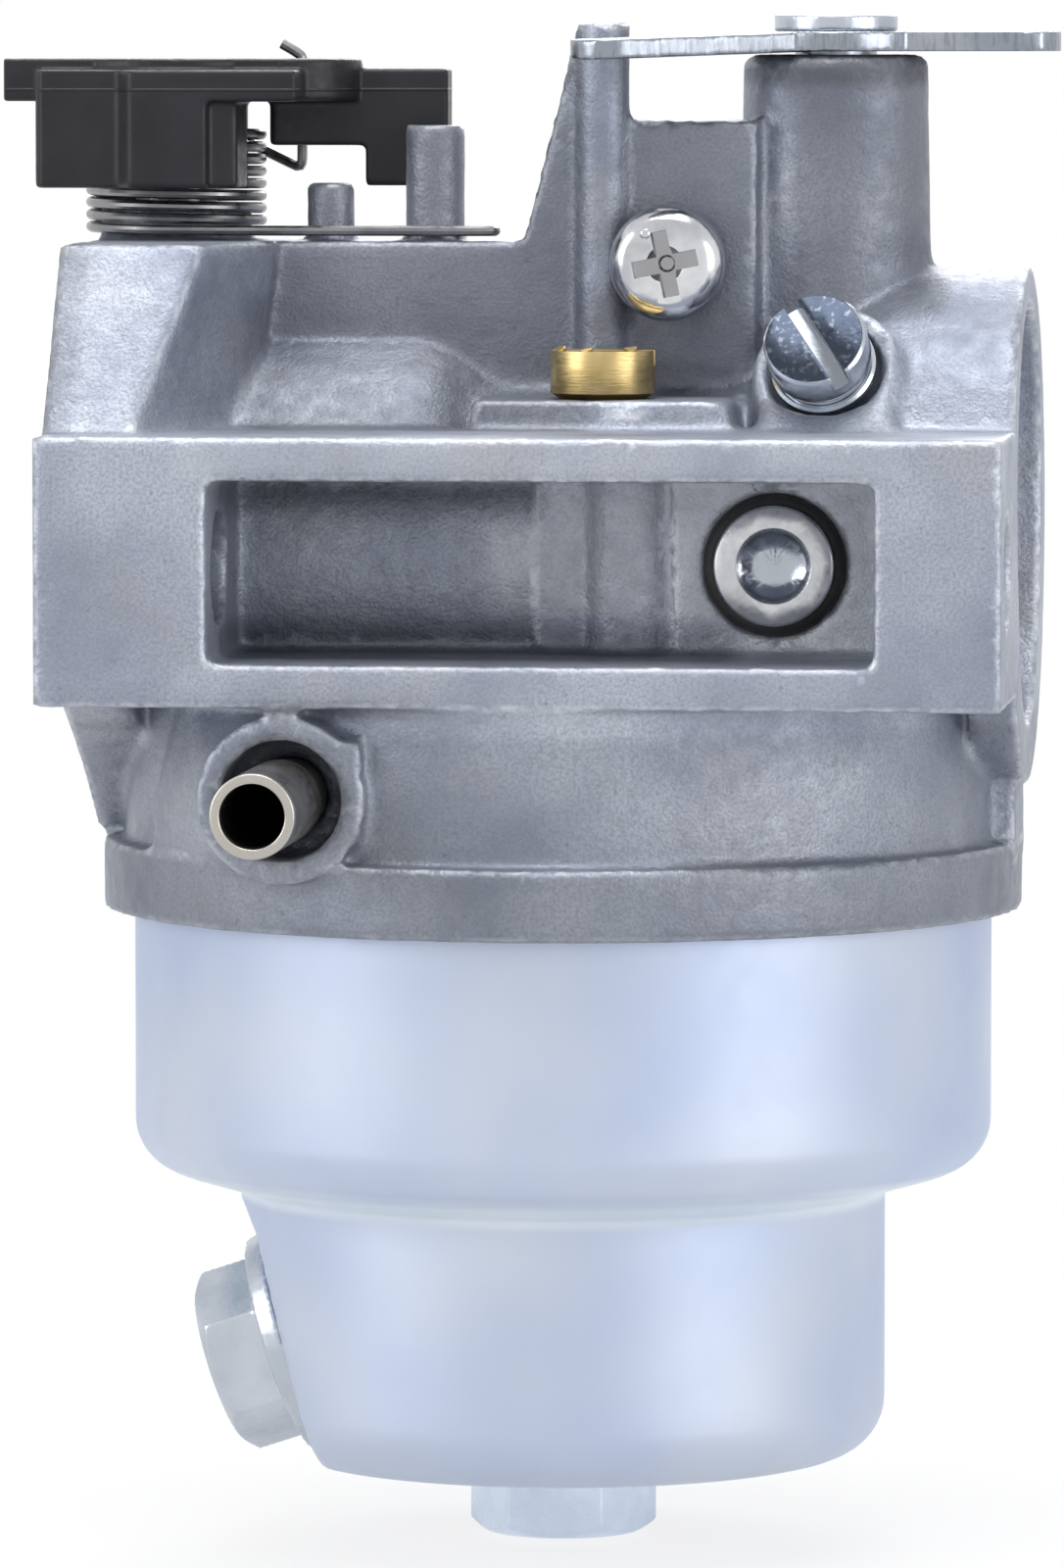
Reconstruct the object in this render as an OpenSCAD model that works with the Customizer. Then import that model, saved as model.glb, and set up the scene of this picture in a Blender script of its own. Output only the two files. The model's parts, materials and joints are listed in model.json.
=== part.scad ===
// Float carburettor for a small four-stroke engine.
// The engine face is the plane X = 0, the air-filter face lies at +X,
// the fuel pipe points to -Y, and the float bowl hangs down along -Z.
// The origin is the centre of the duct, midway between the two studs.

/* [Mounting] */
// Distance from the engine face to the air-filter face
body_len = 57.2; // [56.6:0.1:60]
// Distance between the two mounting studs
stud_pitch = 42; // [41:0.5:46]
// Diameter of the stud holes
stud_hole_d = 6.8; // [6.2:0.1:7.6]
// Height of the two stud bars
bar_h = 16; // [15:0.5:18]
// Distance from a stud's axis to the outer face of its bar
bar_out = 6.2; // [5.4:0.1:7]
// Height of the window in each stud bar
window_h = 10.8; // [9:0.2:11.4]
// Length of the bar left solid at the engine end
window_start = 10.3; // [9.5:0.1:12]
// Length of the bar left solid at the air end
window_end = 7.5; // [5:0.1:8]

/* [Duct] */
// Bore at the throttle plate
throttle_bore_d = 18; // [16:0.2:18.6]
// Bore at the narrowest place
venturi_d = 14.5; // [12.5:0.1:15.5]
// Bore at the choke plate
choke_bore_d = 19.4; // [18.4:0.2:20.4]
// Outside diameter of the duct over the throttle
duct_od = 28.8; // [28:0.2:29.6]
// Outside diameter of the duct at its waist
waist_od = 24; // [23.4:0.2:25]
// Outside diameter of the round air flange
air_flange_d = 31.4; // [30.6:0.2:33]
// Height of the air flange's centre above the duct's centre
air_flange_rise = 1.8; // [1:0.1:2.2]

/* [Throttle] */
// Distance of the throttle shaft from the engine face
throttle_x = 4.7; // [4.6:0.1:5.4]
// Diameter of the throttle and choke shafts
shaft_d = 5; // [4.4:0.1:5.4]
// Thickness of the throttle and choke plates
plate_t = 1; // [0.8:0.1:1.2]
// Height of the casting's top face above the duct's centre
deck_z = 19.1; // [18.6:0.1:20]
// Wire diameter of the return spring
spring_wire_d = 0.6; // [0.4:0.05:0.65]
// Number of coils in the return spring
spring_coils = 8; // [6:1:8]
// Thickness of the throttle lever's upper plate
lever_plate_t = 2.6; // [2.2:0.1:3]

/* [Choke] */
// Distance of the choke shaft from the air-filter face
choke_from_air = 11.9; // [11.6:0.1:12.4]
// Outside diameter of the choke shaft's tower
tower_d = 11.2; // [10.4:0.2:12]
// Height of the tower's top above the duct's centre
tower_z = 30.4; // [29.6:0.1:31.2]
// Thickness of the steel choke lever
choke_lever_t = 1.2; // [1:0.1:1.6]
// Length of the choke lever from its shaft to its outer end
choke_lever_reach = 14.5; // [12.5:0.5:17]

/* [Float bowl] */
// Outside diameter of the bowl's upper part
bowl_d = 52.6; // [52.2:0.1:52.8]
// Outside diameter of the bowl's lower part
bowl_low_d = 39.6; // [38.4:0.2:40.4]
// Thickness of the bowl's steel sheet
bowl_t = 0.9; // [0.7:0.05:1.1]
// Height of the step between the upper and lower parts
step_z = -39; // [-40:0.2:-38.4]
// Height of the bowl's bottom
bottom_z = -55.5; // [-58:0.5:-55]
// Lean of the flat that carries the drain bolt
drain_lean = 18.4; // [17:0.2:20]
// Width of the bolt heads across their flats
hex_af = 10; // [9:0.5:10]

/* [Fuel inlet] */
// Outside diameter of the fuel pipe
pipe_d = 5; // [4.6:0.1:5.4]
// Inside diameter of the fuel pipe
pipe_bore_d = 3.8; // [3:0.1:4]
// Length of pipe that stands out of its boss
pipe_out = 12; // [10:0.5:16]
// Distance of the fuel pipe's axis inside the bowl's outer wall
pipe_inset = 12.3; // [11.9:0.1:12.7]

/* [Adjusting screws] */
// Head diameter of the idle mixture screw
mix_head_d = 6.2; // [5.6:0.1:6.6]
// Thread pitch of the idle mixture screw
mix_pitch = 0.7; // [0.5:0.05:0.8]
// Head diameter of the jet-retaining screw
pan_head_d = 7; // [6.4:0.1:7.4]

/* [Hidden] */
$fn = 64;
EPS = 0.01;
play = 0.05;          // radial play of a running fit
snug = 0.02;          // radial gap of a pressed or screwed joint
free_gap = 0.3;       // smallest gap between parts that pass each other
choke_x = body_len - choke_from_air;
bowl_x = body_len / 2;
pipe_x = bowl_x - bowl_d / 2 + pipe_inset;
stud_y = stud_pitch / 2;
bar_y = stud_y + bar_out;
bar_z = bar_h / 2;
duct_r = duct_od / 2;
waist_r = waist_od / 2;
choke_r = choke_bore_d / 2;
throttle_r = throttle_bore_d / 2;
air_r = air_flange_d / 2;
shaft_r = shaft_d / 2;
plate_gap = 0.1;      // gap between a closed plate and its bore
window_x1 = body_len - window_end;
bar_root_y = waist_r - 1;      // the bars run into the duct down to here
window_floor_y = waist_r - 0.1;
rear_bar_short = 2;   // the rear bar stops this far short of the air face
block_len = 11.9;     // length of the solid block at the engine end
seal_r = shaft_r + 1.2;
plate_screw_r = 1.25;
plate_screw_z = 3.6;  // distance of each plate screw from the duct's centre

// The float chamber's casting, from the flange down to its parting face.
flange_top = -17.4;
parting_z = -21.65;
chamber_top = -10.5;
flange_r = bowl_d / 2 + 1.85;
chamber_r = bowl_d / 2 + 0.5;
chamber_in_r = bowl_d / 2 - 2.1;
rim_z = -19.6;        // upper edge of the bowl's wall, under the gasket
groove_z = rim_z + 1; // roof of the gasket groove

// The central pillar and the jets that stand in it.
seat_drop = 0.9;      // depth of the dimple under the bowl bolt
pillar_r = 5.6;
pillar_z = bottom_z + seat_drop + bowl_t;
bolt_thread_r = 3;
jet_thread_r = 2.8;
jet_z = pillar_z + 14;
nozzle_r = 2.3;
nozzle_low = jet_z + 5;
nozzle_top = -4;

// Float gear.
hinge_z = -20.6;
hinge_pin_r = 1;
needle_x = pipe_x;
needle_r = 1.6;
needle_seat_r = 3.1;
inlet_z = -13.5;
inlet_face_y = 0.3 - chamber_r;
inlet_pressed = 9.5;  // length of pipe pressed into the casting
press_step = 0.25;    // the pressed end is turned down by this much
inlet_recess = 4.5;   // depth of the ring recess round the pipe
seat_bottom = -19;
float_drop = 7;       // angle that the float hangs down by
tab_reach = 6.6;      // from the hinge to the needle
hinge_x = needle_x - tab_reach;
float_top = -22.6;
float_h = 8.6;
arm_clear = 1.9;      // from the needle's axis to the arm's cross bar
arm_end_x = bowl_x - pillar_r - 1.6;
tab_top = float_top + 0.8;
needle_lift = tab_reach * sin(float_drop);
needle_low = tab_top + 0.3 - needle_lift;
clip_y = 1.9;
clip_drop = 2.85;

// Throttle gear.
hub_seat_z = deck_z + 2.1;
lever_low = 22.3;
lever_top = 30.15;
lever_mid = lever_top - lever_plate_t;
coil_out_r = shaft_r + 3.1;
coil_r = coil_out_r - spring_wire_d / 2;
collar_r = coil_out_r - spring_wire_d - 0.4;
stop_post = [throttle_x + 16.4, -3.2, 1.8, 26.1];   // x, y, radius and top of each post
limit_post = [throttle_x + 10, -3.3, 1.45, 22.6];
leg_hole = [7.5, 2.2];         // from the shaft's axis
spring_z0 = deck_z + 0.25 + spring_wire_d / 2;
spring_pitch = (lever_mid - 1.9 - spring_z0) / spring_coils;
spring_seg = 20;
spring_lead = 11;     // steps past the last full coil before the upper leg leaves

// Choke gear.
choke_lever_z = tower_z + 0.2;
stop_arm_dip = 1.7;   // the stop arm is bent down by this angle
stop_arm = [-12.7, -11];
stop_rib_x = choke_x - 13.7;
wall_y = -6;
wall_t = 2.6;
deck_end = stop_rib_x - 4.6;

// Idle mixture screw: seat point, and its axis by two turns of +Z.
mix_seat = [choke_x + 0.45, -12.4, 11.35];
mix_turn = [59.5, 0, -6.7];
mix_bore_r = 3.45;
mix_thread_r = 2;
mix_neck_r = 2.3;
mix_len = 5.5;        // length of screw below its neck
mix_in = mix_pitch;   // room for one turn inwards

// Side plug over the idle chamber.
plug_x = choke_x - 2.4;
pad_y = -15;
plug_r = 3.6;

// Pilot jet and its retaining screw.
jet_pos = [choke_x - 13.1, -11.4];
jet_pad_z = 9.8;
pilot_r = 2.4;
pan_pos = [choke_x - 9.5, 17.85];
pan_stand = 1.45;     // the head stands clear of the stop rib on a short collar
duct_full_x = jet_pos[0] - 3.8;  // inside the bars the duct keeps its full size up to here
duct_taper_x = duct_full_x - 7.9;

// Air jets in the air face, at these angles round the duct.
air_jet_angles = [60, 120];
air_jet_r = 1;
air_jet_y = 12.6;

// Bowl: the shoulder between its two diameters, and its fasteners.
bowl_shelf = (bowl_d - bowl_low_d) / 2;
shoulder_r = 0.84 * bowl_shelf;
step_r = 0.13 * bowl_shelf;
foot_r = 3.6;
dimple_r = 7.2;
drain_z = -48.6;
drain_x = bowl_x - bowl_low_d / 2 + 0.8 + (step_z - drain_z) * tan(drain_lean);
drain_flat_up = (step_z - drain_z) / cos(drain_lean) - 2.6;
washer_t = 0.5;

// ---- shapes used more than once ----

// A cylinder from point a along +X, -Y or +Z.
module rod_x(r, x0, x1, y = 0, z = 0) {
    translate([x0, y, z]) rotate([0, 90, 0]) cylinder(r = r, h = x1 - x0);
}
module rod_y(r, y0, y1, x = 0, z = 0) {
    translate([x, y1, z]) rotate([90, 0, 0]) cylinder(r = r, h = y1 - y0);
}
module rod_z(r, z0, z1, x = 0, y = 0) {
    translate([x, y, z0]) cylinder(r = r, h = z1 - z0);
}

// A flat ring round the Z axis.
module ring(r_in, r_out, z0, z1) {
    difference() {
        translate([0, 0, z0]) cylinder(r = r_out, h = z1 - z0);
        translate([0, 0, z0 - 1]) cylinder(r = r_in, h = z1 - z0 + 2);
    }
}

// A rubber ring of round section.
module o_ring(r_mid, r_wire) {
    rotate_extrude() translate([r_mid, 0]) circle(r = r_wire, $fn = 24);
}

// A hexagon head with its corners turned off at the free end, standing on z = 0.
module hex_head(af, h) {
    intersection() {
        cylinder(d = af / cos(30), h = h, $fn = 6);
        rotate_extrude() polygon([
            [0, 0], [af / 2 / cos(30) + 0.1, 0], [af / 2 / cos(30) + 0.1, h - 0.7],
            [af / 2 - 0.2, h], [0, h]]);
    }
}

// Places children on the leaning flat of the bowl, with +Z pointing outwards.
module on_drain_flat() {
    translate([drain_x, 0, drain_z]) rotate([0, -90 - drain_lean, 0]) children();
}

// Places children on the mixture screw's axis, with +Z pointing out of its bore.
module on_mix_axis() {
    translate(mix_seat) rotate(mix_turn) children();
}

// ---- casting ----

// One stud bar, with the window that opens to its outer face.
module stud_bar(length) {
    difference() {
        translate([0, -bar_y, -bar_z]) cube([length, bar_y - bar_root_y, bar_h]);
        translate([window_start, -bar_y - 1, -window_h / 2])
            cube([window_x1 - window_start, bar_y + 1 - window_floor_y, window_h]);
    }
}

// The duct's outside: full over the throttle, a waist at the venturi, a flare to the air end.
module duct_outside() {
    rotate([0, 90, 0]) rotate_extrude() polygon([
        [0, 0], [duct_r, 0], [duct_r, duct_taper_x], [duct_r - 0.4, duct_taper_x + 1.5],
        [waist_r + 0.4, duct_taper_x + 4.1], [waist_r, duct_taper_x + 5.5], [waist_r, choke_x - 6],
        [choke_r + 3.4, choke_x - 2],
        [choke_r + 3.4, body_len], [0, body_len]]);
    intersection() {
        rod_x(duct_r, duct_taper_x - 0.5, duct_full_x);
        translate([0, -duct_r, -bar_z + 1]) cube([body_len, duct_od, bar_h - 2]);
    }
}

// The round flange at the air face, with the half cone that braces it above the bars.
module air_flange() {
    translate([0, 0, air_flange_rise]) {
        rod_x(air_r, body_len - 3, body_len);
        intersection() {
            rotate([0, 90, 0]) rotate_extrude() polygon([
                [0, choke_x - 1], [air_r - 2.4, choke_x - 1], [air_r - 0.5, body_len - 8],
                [air_r - 0.01, body_len - 5], [air_r - 0.01, body_len - 1], [0, body_len - 1]]);
            translate([0, -air_r, 0]) cube([body_len, 2 * air_r, air_r]);
        }
    }
}

// Sloped front block at the engine end; its right flank leans back to the deck.
module front_block() {
    hull() {
        translate([0, -stud_y - 3, bar_z - 1]) cube([block_len / 2 - 1, 14, EPS]);
        translate([0, -stud_y + 5, deck_z - EPS]) cube([block_len - 3.1, 10, EPS]);
        translate([0, -10, bar_z - 1]) cube([block_len - 1.8, 10, EPS]);
        translate([0, wall_y, deck_z - EPS]) cube([block_len, -wall_y, EPS]);
    }
}

// Gusset plates at the engine face, above and below the bars.
module engine_plate() {
    foot_y = stud_y - 3.8;
    rotate([90, 0, 90]) linear_extrude(4.2) polygon([
        [0, deck_z], [stud_y - 5, deck_z], [stud_y + 3, bar_z - 1], [stud_y + 3, -bar_z + 1],
        [foot_y, -bar_z], [foot_y / 2 - 0.2, flange_top + 4.9], [1.5, flange_top + 0.4],
        [-1.5, flange_top + 0.4], [-foot_y / 2 + 0.2, flange_top + 4.9], [-foot_y, -bar_z],
        [-foot_y, 0], [0, 0]]);
}

// Deck between the towers: roof, front wall and ribs, open to the rear.
module deck() {
    translate([0, wall_y, deck_z - wall_t]) cube([deck_end, -2 * wall_y, wall_t]);
    translate([deck_end - wall_t, wall_y, 6]) cube([wall_t, -2 * wall_y, deck_z - 6 - EPS]);
    rod_z(collar_r, 8, deck_z, throttle_x);
    translate([0, wall_y + wall_t, 0]) rotate([90, 0, 0]) linear_extrude(wall_t) polygon([
        [8, 5], [choke_x - 4.3, 5], [choke_x - 4.3, tower_z - 4], [stop_rib_x, tower_z - 4],
        [stop_rib_x, tower_z + 1], [stop_rib_x - 1.7, tower_z + 0.8], [deck_end - 0.2, deck_z],
        [8, deck_z]]);
    rod_z(1.63, 5, tower_z + 1.8, stop_rib_x, wall_y + 0.3);
    for (p = [stop_post, limit_post]) rod_z(p[2], deck_z - 1, p[3], p[0], p[1]);
    rod_y(3.3, wall_y + 1, 1, pan_pos[0], pan_pos[1]);
}

// Tower of the choke shaft, slightly wider at its foot.
module choke_tower() {
    translate([choke_x, 0, 5]) rotate_extrude() polygon([
        [0, 0], [tower_d / 2 + 0.5, 0], [tower_d / 2 + 0.3, 10], [tower_d / 2, tower_z - 5.5],
        [tower_d / 2 - 0.5, tower_z - 5], [0, tower_z - 5]]);
    translate([choke_x, -1.5, 8]) cube([body_len - choke_x - 4, 3, 8.6]);
}

// Jet column, plug pad and jet pad on the front of the duct.
module front_pads() {
    column_r = 2.9;
    pad_x = plug_x - 6.1;
    rod_z(column_r, -bar_z + 1, bar_z + 1, jet_pos[0] + 1.7, jet_pos[1] - 1.3);
    translate([duct_full_x, jet_pos[1] - column_r, -bar_z + 1])
        cube([window_x1 - duct_full_x, 7, bar_h - 2]);
    translate([pad_x, pad_y, -bar_z + 1]) cube([window_x1 + 1 - pad_x, 4, bar_h - 2]);
    translate([jet_pos[0] - 7.6, jet_pos[1] - 3.8, bar_z - 1])
        cube([15.6, 9.6, jet_pad_z - bar_z + 1]);
}

// Boss of the idle mixture screw, standing between the front bar and the flange.
module mixture_boss() {
    on_mix_axis() translate([0, 0, -9.5]) cylinder(r1 = 6.2, r2 = 4.45, h = 10.2);
    hull() {
        translate([choke_x - 3.3, -17, bar_z - 1]) cube([8, 8, 1]);
        on_mix_axis() translate([0, 0, -3]) cylinder(r = 4.3, h = 1, $fn = 32);
    }
}

// Float chamber: wall, flange and roof, hollow below.
module chamber() {
    difference() {
        union() {
            rod_z(chamber_r, flange_top - 1, -bar_z + 0.5, bowl_x);
            rod_z(flange_r, parting_z, flange_top, bowl_x);
            translate([bowl_x + chamber_r - 2.4, -4, flange_top - 1])
                cube([flange_r - chamber_r + 2.3, 8, flange_r - 22]);
        }
        rod_z(chamber_in_r, parting_z - 1, chamber_top, bowl_x);
    }
}

// Boss for the fuel pipe, with the web that leads to it.
module inlet_boss() {
    boss_r = pipe_d / 2 + 2.5;
    rod_y(boss_r, inlet_face_y, -12, pipe_x, inlet_z);
    translate([pipe_x, inlet_face_y, inlet_z - 2.4]) cube([boss_r - 0.2, 12, 6]);
    hull() {
        rod_y(boss_r - 0.2, inlet_face_y + 2, -18, pipe_x, inlet_z);
        translate([pipe_x - 9.2, -15, flange_top + 0.2]) cube([4, 3, 3]);
        translate([pipe_x - 7, -17, -bar_z - 0.4]) cube([4, 3, 1]);
    }
}

// Pillar down the middle of the bowl, bosses of the needle seat and of the float hinge.
module inner_posts() {
    rod_z(pillar_r, pillar_z, -waist_r + 2, bowl_x);
    rod_z(needle_seat_r + 1.8, seat_bottom, -duct_r + 3, needle_x);
    rod_y(needle_seat_r + 0.3, -20, 4, needle_x, inlet_z);
    for (s = [-1, 1])
        translate([hinge_x - 2.3, s * 6.6 - 1.3, hinge_z - 2.2])
            cube([4.6, 2.6, chamber_top - hinge_z + 1.5]);
}

// Air passage through the duct, with the recess in the air face.
module duct_bore() {
    rotate([0, 90, 0]) rotate_extrude() polygon([
        [0, -1], [throttle_r, -1], [throttle_r, bowl_x - 14.6], [venturi_d / 2 + 0.6, bowl_x - 5.6],
        [venturi_d / 2, bowl_x - 2.1], [venturi_d / 2, bowl_x + 2.4],
        [venturi_d / 2 + 0.5, bowl_x + 4.4],
        [choke_r - 0.8, choke_x - choke_r + 1.7], [choke_r, choke_x - 5.5],
        [choke_r, body_len - 2.6], [choke_r + 0.7, body_len - 2], [choke_r + 0.7, body_len + 1],
        [0, body_len + 1]]);
    rod_x(11.65, body_len - 2, body_len + 1, 0, 3.75);
}

module main_body() color("#a9adb6") {
    difference() {
        union() {
            chamber();
            stud_bar(body_len);
            mirror([0, 1, 0]) stud_bar(body_len - rear_bar_short);
            duct_outside();
            air_flange();
            front_block();
            engine_plate();
            deck();
            choke_tower();
            front_pads();
            mixture_boss();
            inlet_boss();
            inner_posts();
            throttle_collar();
        }
        duct_bore();
        for (s = [-1, 1]) rod_x(stud_hole_d / 2, -1, body_len + 1, s * stud_y);
        // shaft bores, blind at the bottom
        rod_z(shaft_r + play, -duct_r + 2, hub_seat_z + 1, throttle_x);
        rod_z(seal_r, hub_seat_z - 1.4, hub_seat_z + 1, throttle_x);
        rod_z(shaft_r + play, -choke_r - 2.4, tower_z + 1, choke_x);
        rod_z(seal_r, tower_z - 1.6, tower_z + 1, choke_x);
        // groove for the bowl's rim and its gasket
        translate([bowl_x, 0, 0])
            ring(bowl_d / 2 - bowl_t - 0.1, bowl_d / 2 + 0.1, parting_z - 1, groove_z);
        // pillar: bolt thread, fuel well, main jet and nozzle
        rod_z(bolt_thread_r + snug, pillar_z - 1, jet_z - 1.5, bowl_x);
        rod_z(jet_thread_r + snug, jet_z - 2, nozzle_low, bowl_x);
        rod_z(nozzle_r + 0.8, nozzle_low - EPS, -15, bowl_x);
        rod_z(nozzle_r + snug, -16, 0, bowl_x);
        rod_y(1.4, -pillar_r - 1, pillar_r + 1, bowl_x, jet_z - 1.6);
        // fuel inlet: recess, pressed pipe, passage to the needle seat
        rod_y(pipe_d / 2 + 1.1, inlet_face_y - 1, inlet_face_y + inlet_recess, pipe_x, inlet_z);
        rod_y(pipe_d / 2 - press_step + snug, inlet_face_y, inlet_face_y + inlet_pressed,
            pipe_x, inlet_z);
        rod_y(1.3, inlet_face_y + inlet_pressed - 1, 0, pipe_x, inlet_z);
        rod_z(1.3, seat_bottom, inlet_z, needle_x);
        rod_z(needle_seat_r + snug, seat_bottom - 1, seat_bottom + 3.6, needle_x);
        rod_y(hinge_pin_r + snug, -10, 10, hinge_x, hinge_z);
        // pilot jet, its screw, the side plug and the mixture screw
        rod_z(pilot_r + snug, 1.5, 12, jet_pos[0], jet_pos[1]);
        rod_y(2 + snug, wall_y - 1, 0.2, pan_pos[0], pan_pos[1]);
        rod_y(plug_r + snug, pad_y - 1, pad_y + 2.6, plug_x);
        rod_y(plug_r + 0.7, pad_y - 1, pad_y + 0.85, plug_x);
        on_mix_axis() {
            translate([0, 0, -mix_in - 0.3]) cylinder(r = mix_bore_r, h = 8);
            translate([0, 0, -mix_len - mix_in - 0.3])
                cylinder(r = mix_thread_r + play, h = mix_len + mix_in);
        }
        // drillings for the two air jets in the air face
        for (a = air_jet_angles) rotate([a, 0, 0])
            rod_x(air_jet_r + snug, body_len - 7, body_len, air_jet_y);
    }
}

// Collar that carries the throttle shaft's seal and centres the spring.
module throttle_collar() {
    rod_z(collar_r, deck_z - 1, hub_seat_z, throttle_x);
}

// ---- bowl ----

// Outline of the bowl from the axis to the rim, drawn in by d.
function arc(cx, cy, r, a0, a1, n = 6) =
    [for (i = [0:n]) [cx + r * cos(a0 + (a1 - a0) * i / n), cy + r * sin(a0 + (a1 - a0) * i / n)]];
module bowl_outline(d, top) {
    big = bowl_d / 2 - d;
    low = bowl_low_d / 2 - d;
    polygon(concat(
        [[0, bottom_z + seat_drop + d], [dimple_r + d / 2, bottom_z + seat_drop + d],
            [dimple_r + 0.6 + d / 2, bottom_z + d]],
        arc(low - foot_r + d, bottom_z + foot_r, foot_r - d, -90, 0),
        arc(low + 0.01 + step_r + d, step_z - step_r, step_r + d, 180, 90, 4),
        arc(big - shoulder_r + d, step_z + shoulder_r, shoulder_r - d, -90, 0),
        [[big, top], [0, top]]));
}
module bowl_form(d, top) {
    difference() {
        translate([bowl_x, 0, 0]) rotate_extrude() bowl_outline(d, top);
        on_drain_flat() translate([-20, -bowl_low_d / 2 - 3, -d])
            cube([20 + drain_flat_up, bowl_low_d + 6, 20]);
    }
}
module float_bowl() color("#cfd6e6") {
    difference() {
        bowl_form(0, rim_z);
        bowl_form(bowl_t, rim_z + 1);
        rod_z(bolt_thread_r + 0.15, bottom_z - 1, bottom_z + 3, bowl_x);
        on_drain_flat() translate([0, 0, -3]) cylinder(r = bolt_thread_r + 0.15, h = 6);
    }
}

module bowl_gasket() color("#2a2a2c")
    translate([bowl_x, 0, 0]) ring(bowl_d / 2 - bowl_t - 0.05, bowl_d / 2 + 0.05, rim_z, groove_z);

// ---- fasteners of the bowl ----

module bowl_bolt() color("#c9ccd2") translate([bowl_x, 0, bottom_z]) {
    mirror([0, 0, 1]) hex_head(hex_af, 4.8);
    difference() {
        cylinder(r = bolt_thread_r, h = pillar_z - bottom_z + 9);
        translate([0, 0, pillar_z - bottom_z + 4]) cylinder(r = 1.6, h = 20);
    }
}
module bowl_bolt_washer() color("#b0653a")
    translate([bowl_x, 0, 0]) ring(bolt_thread_r + 0.1, 6.4, bottom_z, bottom_z + seat_drop);

module drain_bolt() color("#c9ccd2") on_drain_flat() translate([0, 0, washer_t]) {
    cylinder(r1 = 7.1, r2 = 6.8, h = 1.3);
    translate([0, 0, 1.3]) hex_head(hex_af, 4);
    translate([0, 0, -7]) cylinder(r = bolt_thread_r, h = 7);
}
module drain_washer() color("#9fa3a8")
    on_drain_flat() ring(bolt_thread_r + 0.1, 6.3, 0, washer_t);
module drain_bush() color("#c2a24a")
    on_drain_flat() ring(bolt_thread_r + snug, 4.9, -bowl_t - 4.5, -bowl_t);

module fuel_inlet_pipe() color("#d9d6cf") difference() {
    union() {
        rod_y(pipe_d / 2, inlet_face_y - pipe_out, inlet_face_y, pipe_x, inlet_z);
        rod_y(pipe_d / 2 - press_step, inlet_face_y - EPS, inlet_face_y + inlet_pressed,
            pipe_x, inlet_z);
    }
    rod_y(pipe_bore_d / 2, inlet_face_y - pipe_out - 1, inlet_face_y + inlet_pressed + 1,
        pipe_x, inlet_z);
}

// ---- float gear ----

// Turns children to the hanging position of the float.
module hanging() {
    translate([hinge_x, 0, hinge_z]) rotate([0, float_drop, 0]) translate([-hinge_x, 0, -hinge_z])
        children();
}
module float() color("#26282c") hanging() {
    difference() {
        union() {
            difference() {
                translate([bowl_x, 0, 0])
                    ring(pillar_r + 3, chamber_in_r - 1.7, float_top - float_h, float_top);
                translate([0, -8.6, float_top - float_h - 1])
                    cube([needle_x + arm_clear - 0.5, 17.2, float_h + 2]);
            }
            // arm, with the tab that lifts the needle
            translate([hinge_x, -3.6, float_top - 0.4]) cube([arm_end_x - hinge_x, 7.2, 1.2]);
            translate([needle_x + arm_clear, -12, float_top - 0.4])
                cube([arm_end_x - needle_x - arm_clear, 24, 1.6]);
            rod_y(2, -4.9, 4.9, hinge_x, hinge_z);
        }
        rod_y(hinge_pin_r + play, -6, 6, hinge_x, hinge_z);
        for (s = [-1, 1]) rod_z(0.85, float_top - 2, float_top + 2, needle_x - 0.15, s * clip_y);
    }
}
module float_pin() color("#c8cace") rod_y(hinge_pin_r, -8.4, 8.4, hinge_x, hinge_z);

module needle_seat() color("#c9a24c") translate([needle_x, 0, 0]) difference() {
    union() {
        rod_z(needle_seat_r, seat_bottom, seat_bottom + 3.6);
        ring(needle_r + play, needle_seat_r + 0.9, seat_bottom - 0.8, seat_bottom);
    }
    rod_z(needle_r + play, seat_bottom - 2, seat_bottom + 2);
    rod_z(0.9, seat_bottom, seat_bottom + 5);
}
module float_needle() color("#c9a24c") translate([needle_x, 0, needle_low]) difference() {
    cylinder(r = needle_r, h = seat_bottom + 0.2 - needle_low);
    difference() {
        translate([0, 0, 0.5]) cylinder(r = needle_r + 1, h = 0.6);
        cylinder(r = 1, h = 2);
    }
}
module needle_tip() color("#3a2c28") translate([needle_x, 0, seat_bottom + 0.2])
    cylinder(r1 = 1.3, r2 = 0.3, h = 1.2);
// Wire clip round the needle's neck; its two legs pass through the arm and join below it.
module needle_clip() color("#c8cace") translate([needle_x, 0, needle_low + 0.8]) {
    ring(1.02, 1.5, -0.2, 0.2);
    for (s = [-1, 1]) {
        translate([-0.2, min(s * 1.3, s * (clip_y + 0.2)), -0.2]) cube([0.4, clip_y - 1.1, 0.4]);
        translate([-0.2, s * clip_y - 0.2, -clip_drop]) cube([0.4, 0.4, clip_drop]);
    }
    translate([-0.2, -clip_y, -clip_drop]) cube([0.4, 2 * clip_y, 0.4]);
}

// ---- jets ----

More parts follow.
